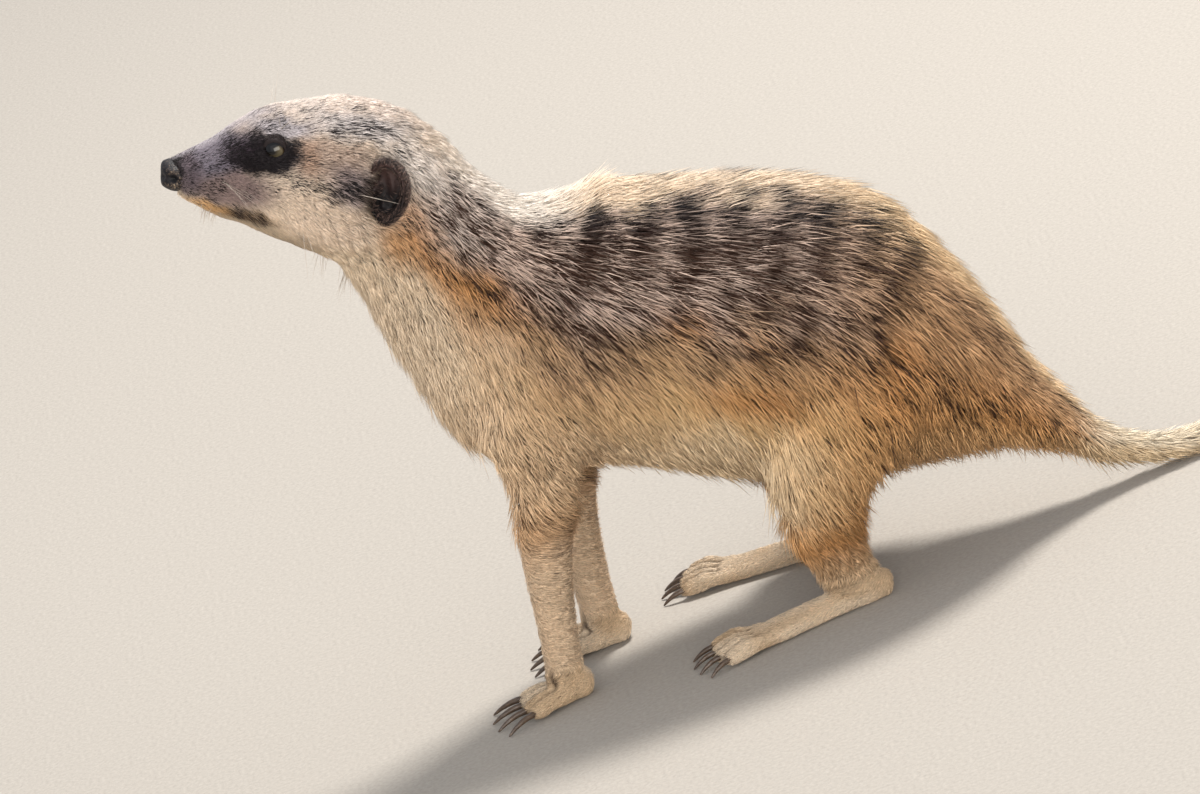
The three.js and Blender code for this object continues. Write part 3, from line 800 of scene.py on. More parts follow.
# %% The whole coat's colours
def coat_colours(place):
    """The pale and the dark hair colour at places, as rows, and the share of dark hairs."""
    s, angle = place.s, place.angle
    patchy = noise(place.points, 9 * MM, 3)
    coat = trunk_coat(place, patchy)
    tail_pale = mix_rows(tone(248, 232, 206), tone(240, 214, 176), ramp(angle, 1.2, 2.2))
    coat = lay(coat, tail_pale, mix(0.08, 0.04, ramp(angle, 0.8, 2.0)), place.tail)
    foot_pale = mix_rows(tone(212, 184, 150), tone(234, 212, 184), ramp(patchy, -0.4, 0.4))
    coat = lay(coat, *leg_coat(place, foot_pale), place.leg)
    pale, share = lay(coat, foot_pale, 0.06, place.foot)
    # The clefts between the toes are painted dark: painted shade in the gaps.
    pale = mix_rows(pale, tone(84, 62, 48), 0.95 * toe_cleft_shade(place))
    head_pale = mix_rows(tone(226, 206, 186), CREAM, ramp(angle, 1.5, 2.3))
    pale, share = lay((pale, share), head_pale, 0.12, place.head)
    bridge = ramp(angle, 0.45, 0.1) * ramp(s, S_EYE + 6 * MM, S_EYE - 4 * MM) * place.head
    pale, share = lay(head_marks(place, pale, share), tone(186, 178, 182), 0.15, 0.7 * bridge)
    tip = tail_end(place, patchy)
    black = np.clip(np.maximum(ramp(angle, 0.85, 0.35), tip) + place.head, 0, 1)
    return pale, mix_rows(UMBER, SOOT, black), np.clip(mix(share, 1.0, tip), 0, 1)


# %% [markdown]
# ## Materials as expressions
# A material is a chain of nodes. Here a small class wraps a socket, so `rings + streaks * 0.06` adds
# its Math nodes, and one method makes any other node from its type, its settings and its sockets.


# %% A wrapped socket and a material maker
class Signal:
    """A number or colour that flows between nodes; arithmetic on it adds Math nodes."""

    def __init__(self, maker, socket):
        self.maker, self.socket = maker, socket

    def maths(self, operation, other):
        """One Math node with this signal first."""
        return self.maker.node("ShaderNodeMath", {"operation": operation}, {0: self, 1: other})

    def __add__(self, other):
        return self.maths("ADD", other)

    def __mul__(self, other):
        return self.maths("MULTIPLY", other)


class Finish:
    """A material under construction, with the Principled shader that its signals feed."""

    def __init__(self, name, **constants):
        self.material = bpy.data.materials.new(name)
        self.material.use_nodes = True
        self.tree = self.material.node_tree
        self.shader = self.tree.nodes["Principled BSDF"]
        self.shade(**constants)

    def feed(self, socket, value):
        """Links a signal to a socket, or sets the socket's own number or colour."""
        if isinstance(value, Signal):
            self.tree.links.new(value.socket, socket)
        elif isinstance(value, np.ndarray):
            socket.default_value = (*value, 1)
        else:
            socket.default_value = value

    def node(self, kind, settings=None, sockets=None, output=0):
        """Any node: its settings are set first, then the values or links of its sockets."""
        node = self.tree.nodes.new(kind)
        for name, value in (settings or {}).items():
            setattr(node, name, value)
        for name, value in (sockets or {}).items():
            self.feed(node.inputs[name], value)
        return Signal(self, node.outputs[output])

    def shade(self, **signals):
        """Feeds the Principled shader's sockets, named with _ for a space."""
        for socket, value in signals.items():
            self.feed(self.shader.inputs[socket.replace("_", " ")], value)
        return self.material

    def kept(self, name, output="Fac"):
        """A number, or a colour, kept on the mesh's vertices under a name."""
        return self.node("ShaderNodeAttribute", {"attribute_name": name}, output=output)

    def stops(self, stops, place):
        """A colour ramp of (position, colour) stops, read at a number."""
        signal = self.node("ShaderNodeValToRGB", sockets={"Fac": place})
        elements = signal.socket.node.color_ramp.elements
        while len(elements) < len(stops):
            elements.new(0.5)
        for element, (position, colour) in zip(elements, stops):
            element.position, element.color = position, (*colour, 1)
        return signal

    def position(self):
        """The place on the piece, in its own coordinates."""
        return self.node("ShaderNodeTexCoord", output="Object")

    def grain(self, size, detail=2.0, place=None):
        """Noise in the piece's own coordinates with features of that size."""
        sockets = {"Vector": place or self.position(), "Scale": 1 / size, "Detail": detail}
        return self.node("ShaderNodeTexNoise", sockets=sockets)

    def blend(self, first, second, share, kind="MIX"):
        """Two colours mixed, or multiplied, by a share."""
        settings = {"data_type": "RGBA", "blend_type": kind, "clamp_factor": True}
        return self.node("ShaderNodeMix", settings, {0: share, 6: first, 7: second}, output=2)

    def bump(self, height, depth):
        """A normal from a height signal, depth in metres."""
        return self.node("ShaderNodeBump", {}, {"Height": height, "Distance": depth})


# %% The fur's finish, shared by skin and coat
def fur_finish(name, hair, gloss, bump=()):
    """The mesh's own hair colour, mottled hair by hair; bump is its size, detail and depth."""
    finish = Finish(name, Roughness=gloss, Specular_IOR_Level=0.35)
    mottle = finish.grain(hair, 3.0)
    light = finish.node("ShaderNodeMapRange", {}, {"Value": mottle, "To Min": 0.78, "To Max": 1.16})
    grey = finish.node("ShaderNodeCombineColor", {}, {0: light, 1: light, 2: light})
    finish.shade(Base_Color=finish.blend(finish.kept("coat", "Color"), grey, 1.0, "MULTIPLY"))
    if bump:
        size, detail, depth = bump
        finish.shade(Normal=finish.bump(finish.grain(size, detail), depth))
    return finish.material


SKIN_FUR = fur_finish("skin_fur", 0.5 * MM, 0.75, (0.35 * MM, 4.0, 0.25 * MM))
COAT_HAIR = fur_finish("coat_hair", 0.8 * MM, 0.55)


def put_colour(mesh, rows):
    """Keeps a coat colour for each vertex on the mesh, for a material to read."""
    attribute = mesh.attributes.new("coat", "FLOAT_COLOR", "POINT")
    attribute.data.foreach_set("color", np.c_[rows, np.ones(len(rows))].astype(np.float32).ravel())


def put_number(mesh, name, values):
    """Keeps a number for each vertex on the mesh, under a name."""
    mesh.attributes.new(name, "FLOAT", "POINT").data.foreach_set("value", values)


def piece(name, mesh, material, stands_for=()):
    """A finished piece: rides on the body, takes a slot's finish and stands for solids."""
    mesh.materials.clear()
    mesh.materials.append(material)
    thing = add_object(name, mesh)
    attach(thing, "root")
    if stands_for:
        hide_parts(*stands_for)
    return thing


# %% The skin as a piece
# Between the hairs the skin is in shade, so it is darker than they are.
SKIN_DARK_SHARE, SKIN_SHADE = 0.85, 0.8
place = Place(points)
pale, dark, share = coat_colours(place)
put_colour(skin_mesh, mix_rows(pale, dark, share * SKIN_DARK_SHARE) * SKIN_SHADE)
piece("skin", skin_mesh, SKIN_FUR, FLESH)
print("skin colours from", len(HEAD_MARKS), "head marks and", len(BANDS), "bands")

# %% [markdown]
# ## Surfaces on a grid
# The nose pad, the eyes, the lids and the ears are each one surface of two numbers: rings along a
# path and turns round it, closed at the ends by poles or joined back to the first ring.


# %% Closed grids
def grid_mesh(name, points, closed_rows=True):
    """A closed surface from points[ring, turn]: turns wrap round, and rings wrap or end in poles."""
    rings, turns, _ = points.shape
    flat = points.reshape(-1, 3)
    if not closed_rows:
        flat = np.vstack([flat, points[0].mean(axis=0), points[-1].mean(axis=0)])
    return outward(mesh_from(name, flat, ring_faces(rings, turns, closed_rows)))


def with_poles(rows, first=0.0, last=0.0):
    """A grid's values as one for each vertex of its mesh, whose two poles come last."""
    return np.append(rows.ravel(), [first, last])


def outward(mesh):
    """Turns a closed mesh's faces round if they point in: its signed volume is then negative."""
    points, _, _ = mesh_arrays(mesh)
    a, b, c = points[triangles_of(mesh)].transpose(1, 0, 2)
    if (a * np.cross(b, c)).sum() < 0:
        mesh.flip_normals()
    return mesh


def turns_and(count, rows):
    """Grids of turns round a circle and of values for the rings, as turn[ring, turn] and row alike."""
    return np.meshgrid(np.linspace(0, 2 * np.pi, count, endpoint=False), rows)


# %% [markdown]
# ## The nose
# A meerkat's nose is a bare black pad, flat in front, with a nostril on each side that curls back
# into a slit. Ovals along the head give its form; nostrils and groove are dents pressed into it, and
# its pebbled surface is bump.

# %% Nose pad
# How far behind the pad's front, half its height above and below the middle, half its width, in mm.
PAD_RINGS = [[-0.15, 1.2, 1.1, 1.2], [-0.08, 2.3, 2.0, 2.3], [0.1, 3.1, 2.6, 3.2], [0.6, 3.7, 3.1, 4.2]]
PAD_RINGS += [[1.6, 4.1, 3.7, 5.0], [2.6, 4.3, 4.1, 5.5], [3.8, 4.3, 4.3, 5.9], [4.8, 4.0, 4.0, 5.8]]
PAD_RINGS += [[6.0, 3.2, 3.2, 5.0], [7.0, 2.0, 2.0, 3.0]]
# Dents in mm: how deep, where (behind the front, to the side, up), and how far each reaches.
GROOVE = [(0.45, [0, 0, -2.0], [1.6, 0.28, 2.6])]
NOSTRIL = [
    (1.3, [1.0, 2.9, 0.2], [1.2, 1.3, 1.1]),  # its opening
    (1.7, [2.7, 4.9, 0.1], [1.3, 1.8, 0.9]),  # where it curls back
    (1.2, [4.6, 5.7, -0.6], [1.2, 1.2, 0.5]),  # the slit behind
    (-0.4, [2.8, 4.6, 2.0], [1.6, 1.6, 0.7]),  # the swollen wing over it
]
# How pale the pad's dry crust makes its rim, and the nostril painted darker than the rest: painted shade
# in its hollow, which keeps it black.
CRUST_AND_NOSTRIL_SHADE = [(0.26, [3.2, 5.0, -0.4], [2.4, 2.6, 2.8]), (-0.9, [2.6, 4.9, 0.1], [1.3, 1.8, 0.9])]


def dents(points, table, sign=1):
    """The sum of depth exp(-|(p - centre) / sizes|^2) over a table's dents, mirrored by sign."""
    away = [(points * [1, sign, 1] - centre) / sizes for _, centre, sizes in table]
    return sum(row[0] * np.exp(-((gap**2).sum(axis=-1))) for row, gap in zip(table, away))


upper, lower = np.array(PAD_RINGS)[:, [0, 1, 3]], np.array(PAD_RINGS)[:, [0, 2, 3]]
upper, lower = smooth_curve(upper, 6), smooth_curve(lower, 6)
turn, row = turns_and(96, np.arange(len(upper)))
half_height = np.where(np.sin(turn) > 0, upper[row, 1], lower[row, 1])
# In the pad's own mm: behind the front, to the side, and up.
pad = np.stack([upper[row, 0], np.cos(turn) * upper[row, 2], np.sin(turn) * half_height], axis=2)
outward_way = unit(pad - np.array([6.0, 0, 0]))
sunk = dents(pad, GROOVE) + sum(dents(pad, NOSTRIL, sign) for sign in SIDES.values())
# The rim's pale crust is the pad's own colour; the nostril's negative share is painted shade.
crust_and_nostril_shade = sum(dents(pad, CRUST_AND_NOSTRIL_SHADE, sign) for sign in SIDES.values())
pad = (pad - outward_way * sunk[..., None]) * MM
pad = PAD_FRONT + pad[..., :1] * HEAD_BACK + pad[..., 1:2] * ACROSS + pad[..., 2:] * HEAD_UP
nose_mesh = grid_mesh("nose_pad", pad, closed_rows=False)
put_number(nose_mesh, "crust_and_nostril_shade", with_poles(crust_and_nostril_shade))

PEBBLE = 0.42 * MM
PAD_STOPS = [(0, tone(8, 7, 10)), (0.56, tone(18, 15, 20))]
PAD_STOPS += [(0.68, tone(66, 55, 48)), (1, tone(186, 164, 136))]
finish = Finish("nose_pad", Roughness=0.55, Specular_IOR_Level=0.28)
cells = {"Vector": finish.position(), "Scale": 1 / PEBBLE}
pebbles = finish.node("ShaderNodeTexVoronoi", sockets=cells)
worn = finish.grain(PEBBLE, 4.0)
NOSE_PAD = finish.shade(
    Base_Color=finish.stops(PAD_STOPS, worn + finish.kept("crust_and_nostril_shade")),
    Normal=finish.bump(pebbles * 0.6 + worn * 0.4, 0.11 * MM),
)
piece("nose_pad", nose_mesh, NOSE_PAD, ["nose"])

# %% [markdown]
# ## Eyes and lids
# The eyeball is a sphere with a slightly raised cornea. Its colours are rings about the way it looks:
# black pupil, khaki iris that is lightest near its edge, dark rim, and all of it dark where the upper
# lid shades it. Each lid ring is one fold of black skin that hugs the ball round an almond opening,
# thicker above than below.

# %% Eyeballs
EYE_RADIUS = (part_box("eye_left")[1][2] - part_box("eye_left")[0][2]) / 2
CORNEA_HEIGHT, CORNEA_ANGLE = 0.3 * MM, 0.6
POLE, FAR_POLE = 0.04, 3.1  # the first and last ring's angle from the way the eye looks
PUPIL_NARROW, PUPIL_FLAT = 0.82, 1.18
LID_SHADE_TURN = 0.6
GAZE = {side: unit(np.array([-0.42, sign * 0.9, 0.1])) for side, sign in SIDES.items()}
OPENING = {side: unit(np.array([-0.24, sign * 0.96, 0.08])) for side, sign in SIDES.items()}


def on_ball(side, axis, polar, turn, radius):
    """A point at an angle from an axis, turned round it from the rear corner to the top:
    C + r (cos p a + sin p (cos t b + sin t u))."""
    rear = unit(HEAD_BACK - axis * (HEAD_BACK @ axis))
    up = np.cross(axis, rear)
    up = up * np.sign(up[2])
    round_axis = np.cos(turn)[..., None] * rear + np.sin(turn)[..., None] * up
    way = np.cos(polar)[..., None] * axis + np.sin(polar)[..., None] * round_axis
    return EYES[side] + np.reshape(radius, np.shape(radius) + (1,)) * way


EYE_STOPS = [
    (0.0, tone(4, 3, 3)),
    (0.22, tone(6, 4, 4)),
    (0.3, tone(44, 38, 26)),
    (0.44, tone(76, 68, 50)),
    (0.6, tone(96, 87, 68)),
    (0.68, tone(60, 48, 32)),
    (0.74, tone(14, 10, 9)),
    (1.0, tone(50, 40, 36)),
]
finish = Finish("eye_wet", Roughness=0.08, Specular_IOR_Level=0.28, Coat_Weight=0.2)
streaks = finish.grain(0.35 * MM, 4.0)
iris = finish.stops(EYE_STOPS, finish.kept("ring") + streaks * 0.06)
EYE_WET = finish.shade(Base_Color=finish.blend(iris, tone(10, 9, 12), finish.kept("under_lid")))

turn, polar = turns_and(64, np.linspace(POLE, FAR_POLE, 48))
radius = EYE_RADIUS + CORNEA_HEIGHT * np.exp(-((polar / CORNEA_ANGLE) ** 2))
ring = polar * np.hypot(PUPIL_NARROW * np.cos(turn), PUPIL_FLAT * np.sin(turn))
high = polar * np.sin(turn - LID_SHADE_TURN)
for side in SIDES:
    mesh = grid_mesh(f"eyeball_{side}", on_ball(side, GAZE[side], polar, turn, radius), closed_rows=False)
    put_number(mesh, "ring", with_poles(ring, 0, FAR_POLE))
    put_number(mesh, "under_lid", ramp(with_poles(high), -0.02, 0.2))
    piece(f"eyeball_{side}", mesh, EYE_WET, [f"eye_{side}"])
print("eye radius", round(EYE_RADIUS / MM, 2), "mm")

# %% Lids
LID_TURNS = 72
OPEN_WIDE, OPEN_HIGH, LID_TILT = 0.61, 0.56, 0.2
# A lid's section, from its edge on the ball over the fold to its root and back under: how far from
# the opening's edge, and how high above the ball in mm.
LID_SECTION = [[0.0, 0.05], [0.03, 0.26], [0.11, 0.42], [0.22, 0.44], [0.3, 0.3], [0.38, 0.4]]
LID_SECTION += [[0.5, 0.3], [0.68, -0.1], [0.9, -0.8], [0.55, -0.6], [0.2, -0.3]]
finish = Finish("lid_skin", Roughness=0.72, Specular_IOR_Level=0.25)
folds = finish.grain(0.5 * MM, 3.0)
LID_SKIN = finish.shade(
    Base_Color=finish.blend(tone(16, 11, 12), tone(44, 33, 32), folds),
    Normal=finish.bump(folds, 0.15 * MM),
)
section = smooth_curve(np.c_[LID_SECTION, np.zeros(len(LID_SECTION))], 3)
turn, row = turns_and(LID_TURNS, np.arange(len(section)))
corners = 1 + 0.12 * np.cos(turn) ** 6
opening = 1 / np.hypot(np.cos(turn) / OPEN_WIDE, np.sin(turn) / OPEN_HIGH) * corners
heavy = mix(0.8, 1.15, ramp(np.sin(turn), -0.4, 0.6))
lid_radius = EYE_RADIUS + section[row, 1] * heavy * MM
lids = {}
for side in SIDES:
    rows = on_ball(side, OPENING[side], opening + section[row, 0], turn + LID_TILT, lid_radius)
    lids[side] = grid_mesh(f"lids_{side}", rows)
    piece(f"lids_{side}", lids[side], LID_SKIN)
print("lid opening", round(2 * OPEN_WIDE * EYE_RADIUS / MM, 1), "mm wide")

# %% [markdown]
# ## Ears
# The ear is a small dark cup, narrow at the bottom, with a thick rim that stands away from the head
# at the rear. One profile from the hollow's floor over the rim to the back is carried round an oval;
# the folds inside it are ridges added to the height.

# %% Ear cup
EAR_WIDE, EAR_HIGH, EAR_LEAN = 5.6 * MM, 7.5 * MM, math.radians(28)
EAR_DROP, EAR_STAND, EAR_OUT = 1.0 * MM, 2.6 * MM, 1.6 * MM
EAR_TURNS, PROFILE_STEPS = 72, 6
# Share of the rim's distance from the middle, and height out of the rim's plane in mm.
EAR_PROFILE = [[0.03, -4.0], [0.45, -3.6], [0.78, -2.4], [0.93, 0.0], [1.0, 0.9], [1.08, 0.7]]
EAR_PROFILE += [[1.12, -0.6], [1.04, -2.8], [0.8, -5.0], [0.45, -6.3], [0.03, -6.8]]
RIM_ROW = 4 * PROFILE_STEPS


def ear_axes(sign):
    """The way the ear's hollow faces, and the directions towards its rear edge and its top."""
    out = unit(np.array([-0.36, sign * 0.93, 0.1]))
    lean = np.array([math.sin(EAR_LEAN), 0, math.cos(EAR_LEAN)])
    top = unit(lean - out * (lean @ out))
    rear = np.cross(top, out)
    return out, rear * np.sign(rear[0]), top


def ridge(a, b, wide, high):
    """exp(-(a / wide)^2 - (b / high)^2): a soft oval hill."""
    return np.exp(-((a / wide) ** 2) - (b / high) ** 2)


def ear_points(side, sign):
    """The cup's points[row, turn] and how much each is a fold: profile x oval, plus ridges inside."""
    profile = smooth_curve(np.c_[EAR_PROFILE, np.zeros(len(EAR_PROFILE))], PROFILE_STEPS)
    turn, row = turns_and(EAR_TURNS, np.arange(len(profile)))
    share, height = profile[row, 0], profile[row, 1] * MM
    rear_way = share * EAR_WIDE * np.cos(turn) * (1 + 0.16 * np.sin(turn))
    top_way = share * EAR_HIGH * np.sin(turn)
    inner = ramp(row, RIM_ROW, RIM_ROW - 8)
    a, b = rear_way / MM, top_way / MM
    rear_fold = 1.5 * ridge(a - 0.9 + 0.07 * b**2, b - 1.4, 1.3, 3.0)
    front_fold = 3.0 * ridge(a + 3.9, b + 0.4, 1.3, 1.7)
    low_fold = 1.7 * ridge(a + 0.9, b + 4.3, 1.3, 1.2)
    fold = np.maximum.reduce([rear_fold, front_fold, low_fold]) * inner
    stand = EAR_STAND * np.cos(turn) * ramp(share, 0.4, 1.0)
    out, rear, top = ear_axes(sign)
    rise = height + stand + fold * MM + EAR_OUT
    points = EARS[side] + rear_way[..., None] * rear + (top_way - EAR_DROP)[..., None] * top
    return points + rise[..., None] * out, fold


EAR_SKIN = fur_finish("ear_skin", 0.5 * MM, 0.6, (0.4 * MM, 3.0, 0.2 * MM))
# The ear is darker towards its bottom and lighter towards its top; its raised folds carry a painted
# highlight, this many times lighter.
FOLD_HIGHLIGHT, FULL_FOLD = 1.7, 2.2
ears = {}
for side, sign in SIDES.items():
    cup, fold = ear_points(side, sign)
    ears[side] = grid_mesh(f"ear_cup_{side}", cup, closed_rows=False)
    height = with_poles((cup - EARS[side]) @ ear_axes(sign)[2]) / EAR_HIGH
    skin_tone = mix_rows(tone(16, 11, 12), tone(66, 46, 42), ramp(height, -0.5, 0.7))
    # Painted highlight on the raised folds.
    fold_highlight = np.clip(with_poles(fold) / FULL_FOLD, 0, 1)
    put_colour(ears[side], mix_rows(skin_tone, FOLD_HIGHLIGHT * skin_tone, fold_highlight))
    piece(f"ear_cup_{side}", ears[side], EAR_SKIN, [f"ear_{side}"])
print("ear:", round(2.2 * EAR_HIGH / MM, 1), "mm high")

# %% [markdown]
# ## Claws
# The forefeet's digging claws are long and gently curved. The solids already have their curve, so the
# sixteen are merged, rounded by subdivision and joined into one piece.

# %% Claws
claw_nodes = [claw for foot in CLAWS for claw in foot]
CLAW_GROW = 0.12 * MM  # makes up for what the rounding takes off
claw_mesh = changed(joined(claw_nodes, CLAW_GROW), "SUBSURF", {"levels": 2, "render_levels": 2})
finish = Finish("claw_horn", Roughness=0.36, Specular_IOR_Level=0.5)
stretched = {"Vector": finish.position(), "Scale": (0.25, 1.0, 1.0)}
streak = finish.grain(0.4 * MM, 3.0, finish.node("ShaderNodeMapping", sockets=stretched))
CLAW_HORN = finish.shade(
    Base_Color=finish.blend(tone(44, 33, 27), tone(124, 100, 78), streak * streak),
    Normal=finish.bump(streak, 0.08 * MM),
)
piece("claws", claw_mesh, CLAW_HORN, claw_nodes)
print("claws:", len(claw_nodes), "with", len(claw_mesh.polygons), "faces")

# %% [markdown]
# ## The lie of the coat
# Hair runs back from the nose along the body, and the flanks' hair also hangs: the further round the
# side, the more it turns down. On the forelegs it wraps back round the leg, on the hind legs it runs
# down, and on the feet it points to the toes. The field is made for every vertex of the skin, laid
# flat on it, and smoothed so that it never breaks.

# %% Direction and curvature fields
DOWN, BACK = np.array([0.0, 0.0, -1.0]), np.array([1.0, 0.0, 0.0])


def laid_flat(ways, normals):
    """Directions with their part along the normal taken out, at length 1."""
    return unit(ways - normals * (ways * normals).sum(axis=1)[:, None])


def hair_lie(place, normals):
    """The way the hair points at each place: along the body plus a share of straight down."""
    round_to = [0, 0.4, 0.9, 1.4, 1.9, 2.4, 3.1]
    round_side = np.interp(place.angle, round_to, [0.02, 0.1, 0.4, 0.95, 1.7, 2.3, 1.6])
    s = [0, S_EYE, S_EAR, S_NECK, S_CHEST, S_BELLY, S_HIPS, S_TAIL, S_TAIL + 10 * MM]
    by_part = np.interp(place.s, s, [0.1, 0.2, 0.35, 0.6, 0.9, 1.0, 2.4, 1.2, 0.05])
    ways = place.along + (round_side * by_part)[:, None] * DOWN
    foreleg = BACK + 0.22 * place.down_leg
    hindleg = place.down_leg + 0.3 * BACK
    ways = mix_rows(unit(ways), unit(foreleg), place.foreleg)
    ways = mix_rows(ways, unit(hindleg), place.hindleg)
    ways = mix_rows(ways, -BACK + 0.25 * DOWN, place.foot)
    return laid_flat(ways, normals)


def bending(points, normals, ways, edges):
    """The skin's curvature along the hair: the sum of (dn.w)(dp.w) over each vertex's edges, divided
    by the sum of (dp.w)^2."""
    top, base = np.zeros(len(points)), np.full(len(points), 1e-12)
    for a, b in (edges.T, edges.T[::-1]):
        dp = ((points[b] - points[a]) * ways[a]).sum(axis=1)
        dn = ((normals[b] - normals[a]) * ways[a]).sum(axis=1)
        top += np.bincount(a, dp * dn, len(points))
        base += np.bincount(a, dp * dp, len(points))
    return top / base


place = Place(points)
soft_normals = unit(smoothed(normals, edges, 6, 0.5))
ways = hair_lie(place, soft_normals)
ways = laid_flat(smoothed(ways, edges, 10, 0.5), soft_normals)
curve = bending(points, soft_normals, ways, edges)
curve = smoothed(curve[:, None], edges, 14, 0.5)[:, 0]
place.normal, place.way, place.curve = soft_normals, ways, curve
print("curvature from", round(curve.min() * MM, 3), "to", round(curve.max() * MM, 3), "per mm")

# %% [markdown]
# ## One tuft
# A tuft is a thin blade with a three-cornered section: a root under the skin, one ring and a tip,
# five vertices and six triangles. It rises from the skin and flattens as it goes, and follows the
# skin's own curve. Tips of neighbours are drawn towards shared points, which parts the coat in locks.


# %% Shape of the coat at each root
def by_place(place, along, foreleg, hindleg, foot):
    """A size in metres that changes along the body and takes its own values on legs and feet."""
    s = [0, 12 * MM, S_EYE, S_EAR, S_NECK, S_CHEST, S_BELLY, S_HIPS, S_TAIL, S_TAIL + 25 * MM, S_TIP]
    size = np.interp(place.s, s, along)
    size = mix(mix(size, foreleg, place.foreleg), hindleg, place.hindleg)
    return mix(size, foot, place.foot) * MM


def chin_hair(place):
    """How much a place is under the jaw, where the hair hangs."""
    under = ramp(place.angle, 1.8, 2.4) * place.head
    return under * belt(place.s, 6 * MM, 14 * MM, S_EYE + 6 * MM, S_EAR)


def near_ear(place):
    """How much a place is just in front of an ear, whose front rim its hair covers."""
    gaps = [distance(place.points, ear - 6 * MM * HEAD_BACK) for ear in EARS.values()]
    return ramp(np.min(gaps, axis=0), 8 * MM, 5 * MM)


def hair_length(place):
    """Short on the face and feet, longest on the flanks, and held back on breast and haunch."""
    along = [1.1, 1.6, 2.4, 4.2, 7.5, 11.0, 12.0, 12.5, 11.5, 9.0, 7.0]
    top = mix(1.0, 0.75, ramp(place.angle, 0.6, 0.2) * (1 - place.head))
    z, trunk = place.points[:, 2], 1 - place.leg
    hindleg = np.interp(z, [8 * MM, 20 * MM, 50 * MM], [2.0, 4.6, 8.5])
    foreleg = np.interp(z, [14 * MM, 36 * MM, 64 * MM], [2.0, 3.4, 6.5])
    length = by_place(place, along, foreleg, hindleg, 1.6) * top
    breast = ramp(z, 92 * MM, 62 * MM) * ramp(place.s, S_BELLY, S_CHEST + 8 * MM) * trunk
    haunch = ramp(z, 66 * MM, 42 * MM) * ramp(place.s, S_BELLY, S_HIPS) * (1 - place.tail) * trunk
    for inside, longest in ((breast, 6.5 * MM), (haunch, 8.5 * MM)):
        length = mix(length, np.minimum(length, longest), inside)
    length = mix(length, 4.6 * MM, chin_hair(place))
    return mix(length, 6.5 * MM, near_ear(place))


def hair_width(place):
    """Fine on the face and legs, and coarser towards the flanks."""
    along = [0.2, 0.22, 0.24, 0.3, 0.36, 0.4, 0.42, 0.42, 0.4, 0.38, 0.38]
    return by_place(place, along, 0.22, 0.3, 0.22)


def hair_density(place):
    """Roots per square metre of skin."""
    s = [0, S_EYE, S_EAR, S_NECK, S_CHEST, S_HIPS, S_TAIL, S_TIP]
    many = np.interp(place.s, s, [14.3, 13.2, 7.8, 4.1, 3.0, 2.8, 3.1, 3.1])
    many = mix(mix(many, 5.0, place.foreleg), 4.0, place.hindleg)
    return mix(many, 6.5, place.foot) / MM**2


# %% Roots
def scatter(points, triangles, density, rng):
    """Random places on triangles: steps along the running total of area x density, so that they are
    spread evenly, and two random weights inside each triangle."""
    a, b, c = points[triangles].transpose(1, 0, 2)
    area = np.linalg.norm(np.cross(b - a, c - a), axis=1) / 2
    total = np.cumsum(area * density[triangles].mean(axis=1))
    count = int(total[-1])
    steps = (np.arange(count) + rng.random(count)) / count * total[-1]
    corners = triangles[np.minimum(np.searchsorted(total, steps), len(triangles) - 1)]
    u, v = rng.random((2, count))
    fold = u + v > 1
    u[fold], v[fold] = 1 - u[fold], 1 - v[fold]
    return corners, np.stack([1 - u - v, u, v], axis=1)


def lock_centre(points, size, seed):
    """The lock each point belongs to: its centre in a jittered lattice, and three random numbers."""
    table = np.random.default_rng(seed).random((LATTICE, LATTICE, LATTICE, 6))
    shift = np.stack([noise(points, size * 1.7, seed + k) for k in range(3)], axis=1)
    warped = points / size + 0.35 * shift
    cell = np.floor(warped).astype(int)
    i, j, k = (cell % LATTICE).T
    luck = table[i, j, k]
    centre = (cell + 0.5 + 0.6 * (luck[:, :3] - 0.5)) * size
    return centre + (points - warped * size), luck[:, 3:]


# %% Tufts as one mesh
RING_AT, GROUND_GAP = 0.4, 0.08 * MM
# Vertex 0 is the root, 1 to 3 are the ring and 4 is the tip.
FACES = np.array([[0, 2, 1], [0, 3, 2], [0, 1, 3], [1, 2, 4], [2, 3, 4], [3, 1, 4]])
# On the map a tuft is a diamond this wide; each face takes three of its four corners.
PATCH = 0.003
PATCH_CORNERS = np.array([[0.5, 0.0], [0.0, RING_AT], [1.0, RING_AT], [0.5, 1.0]])
FACE_CORNERS = np.array([[0, 2, 1], [0, 2, 1], [0, 1, 2], [1, 2, 3], [1, 2, 3], [2, 1, 3]])


def along_hair(root, way, normal, curve, reach, rise):
    """A point of the hair: an arc of the skin's curvature, and a rise away from it.
    c(x) = p + w sin(kx)/k - n (1 - cos(kx))/k + rise (n cos(kx) + w sin(kx))."""
    turn = curve * reach
    forward = reach * np.sinc(turn / np.pi)
    fall = 0.5 * turn * reach * np.sinc(turn / (2 * np.pi)) ** 2
    out = normal * np.cos(turn)[:, None] + way * np.sin(turn)[:, None]
    return root + way * forward[:, None] - normal * fall[:, None] + out * rise[:, None], out


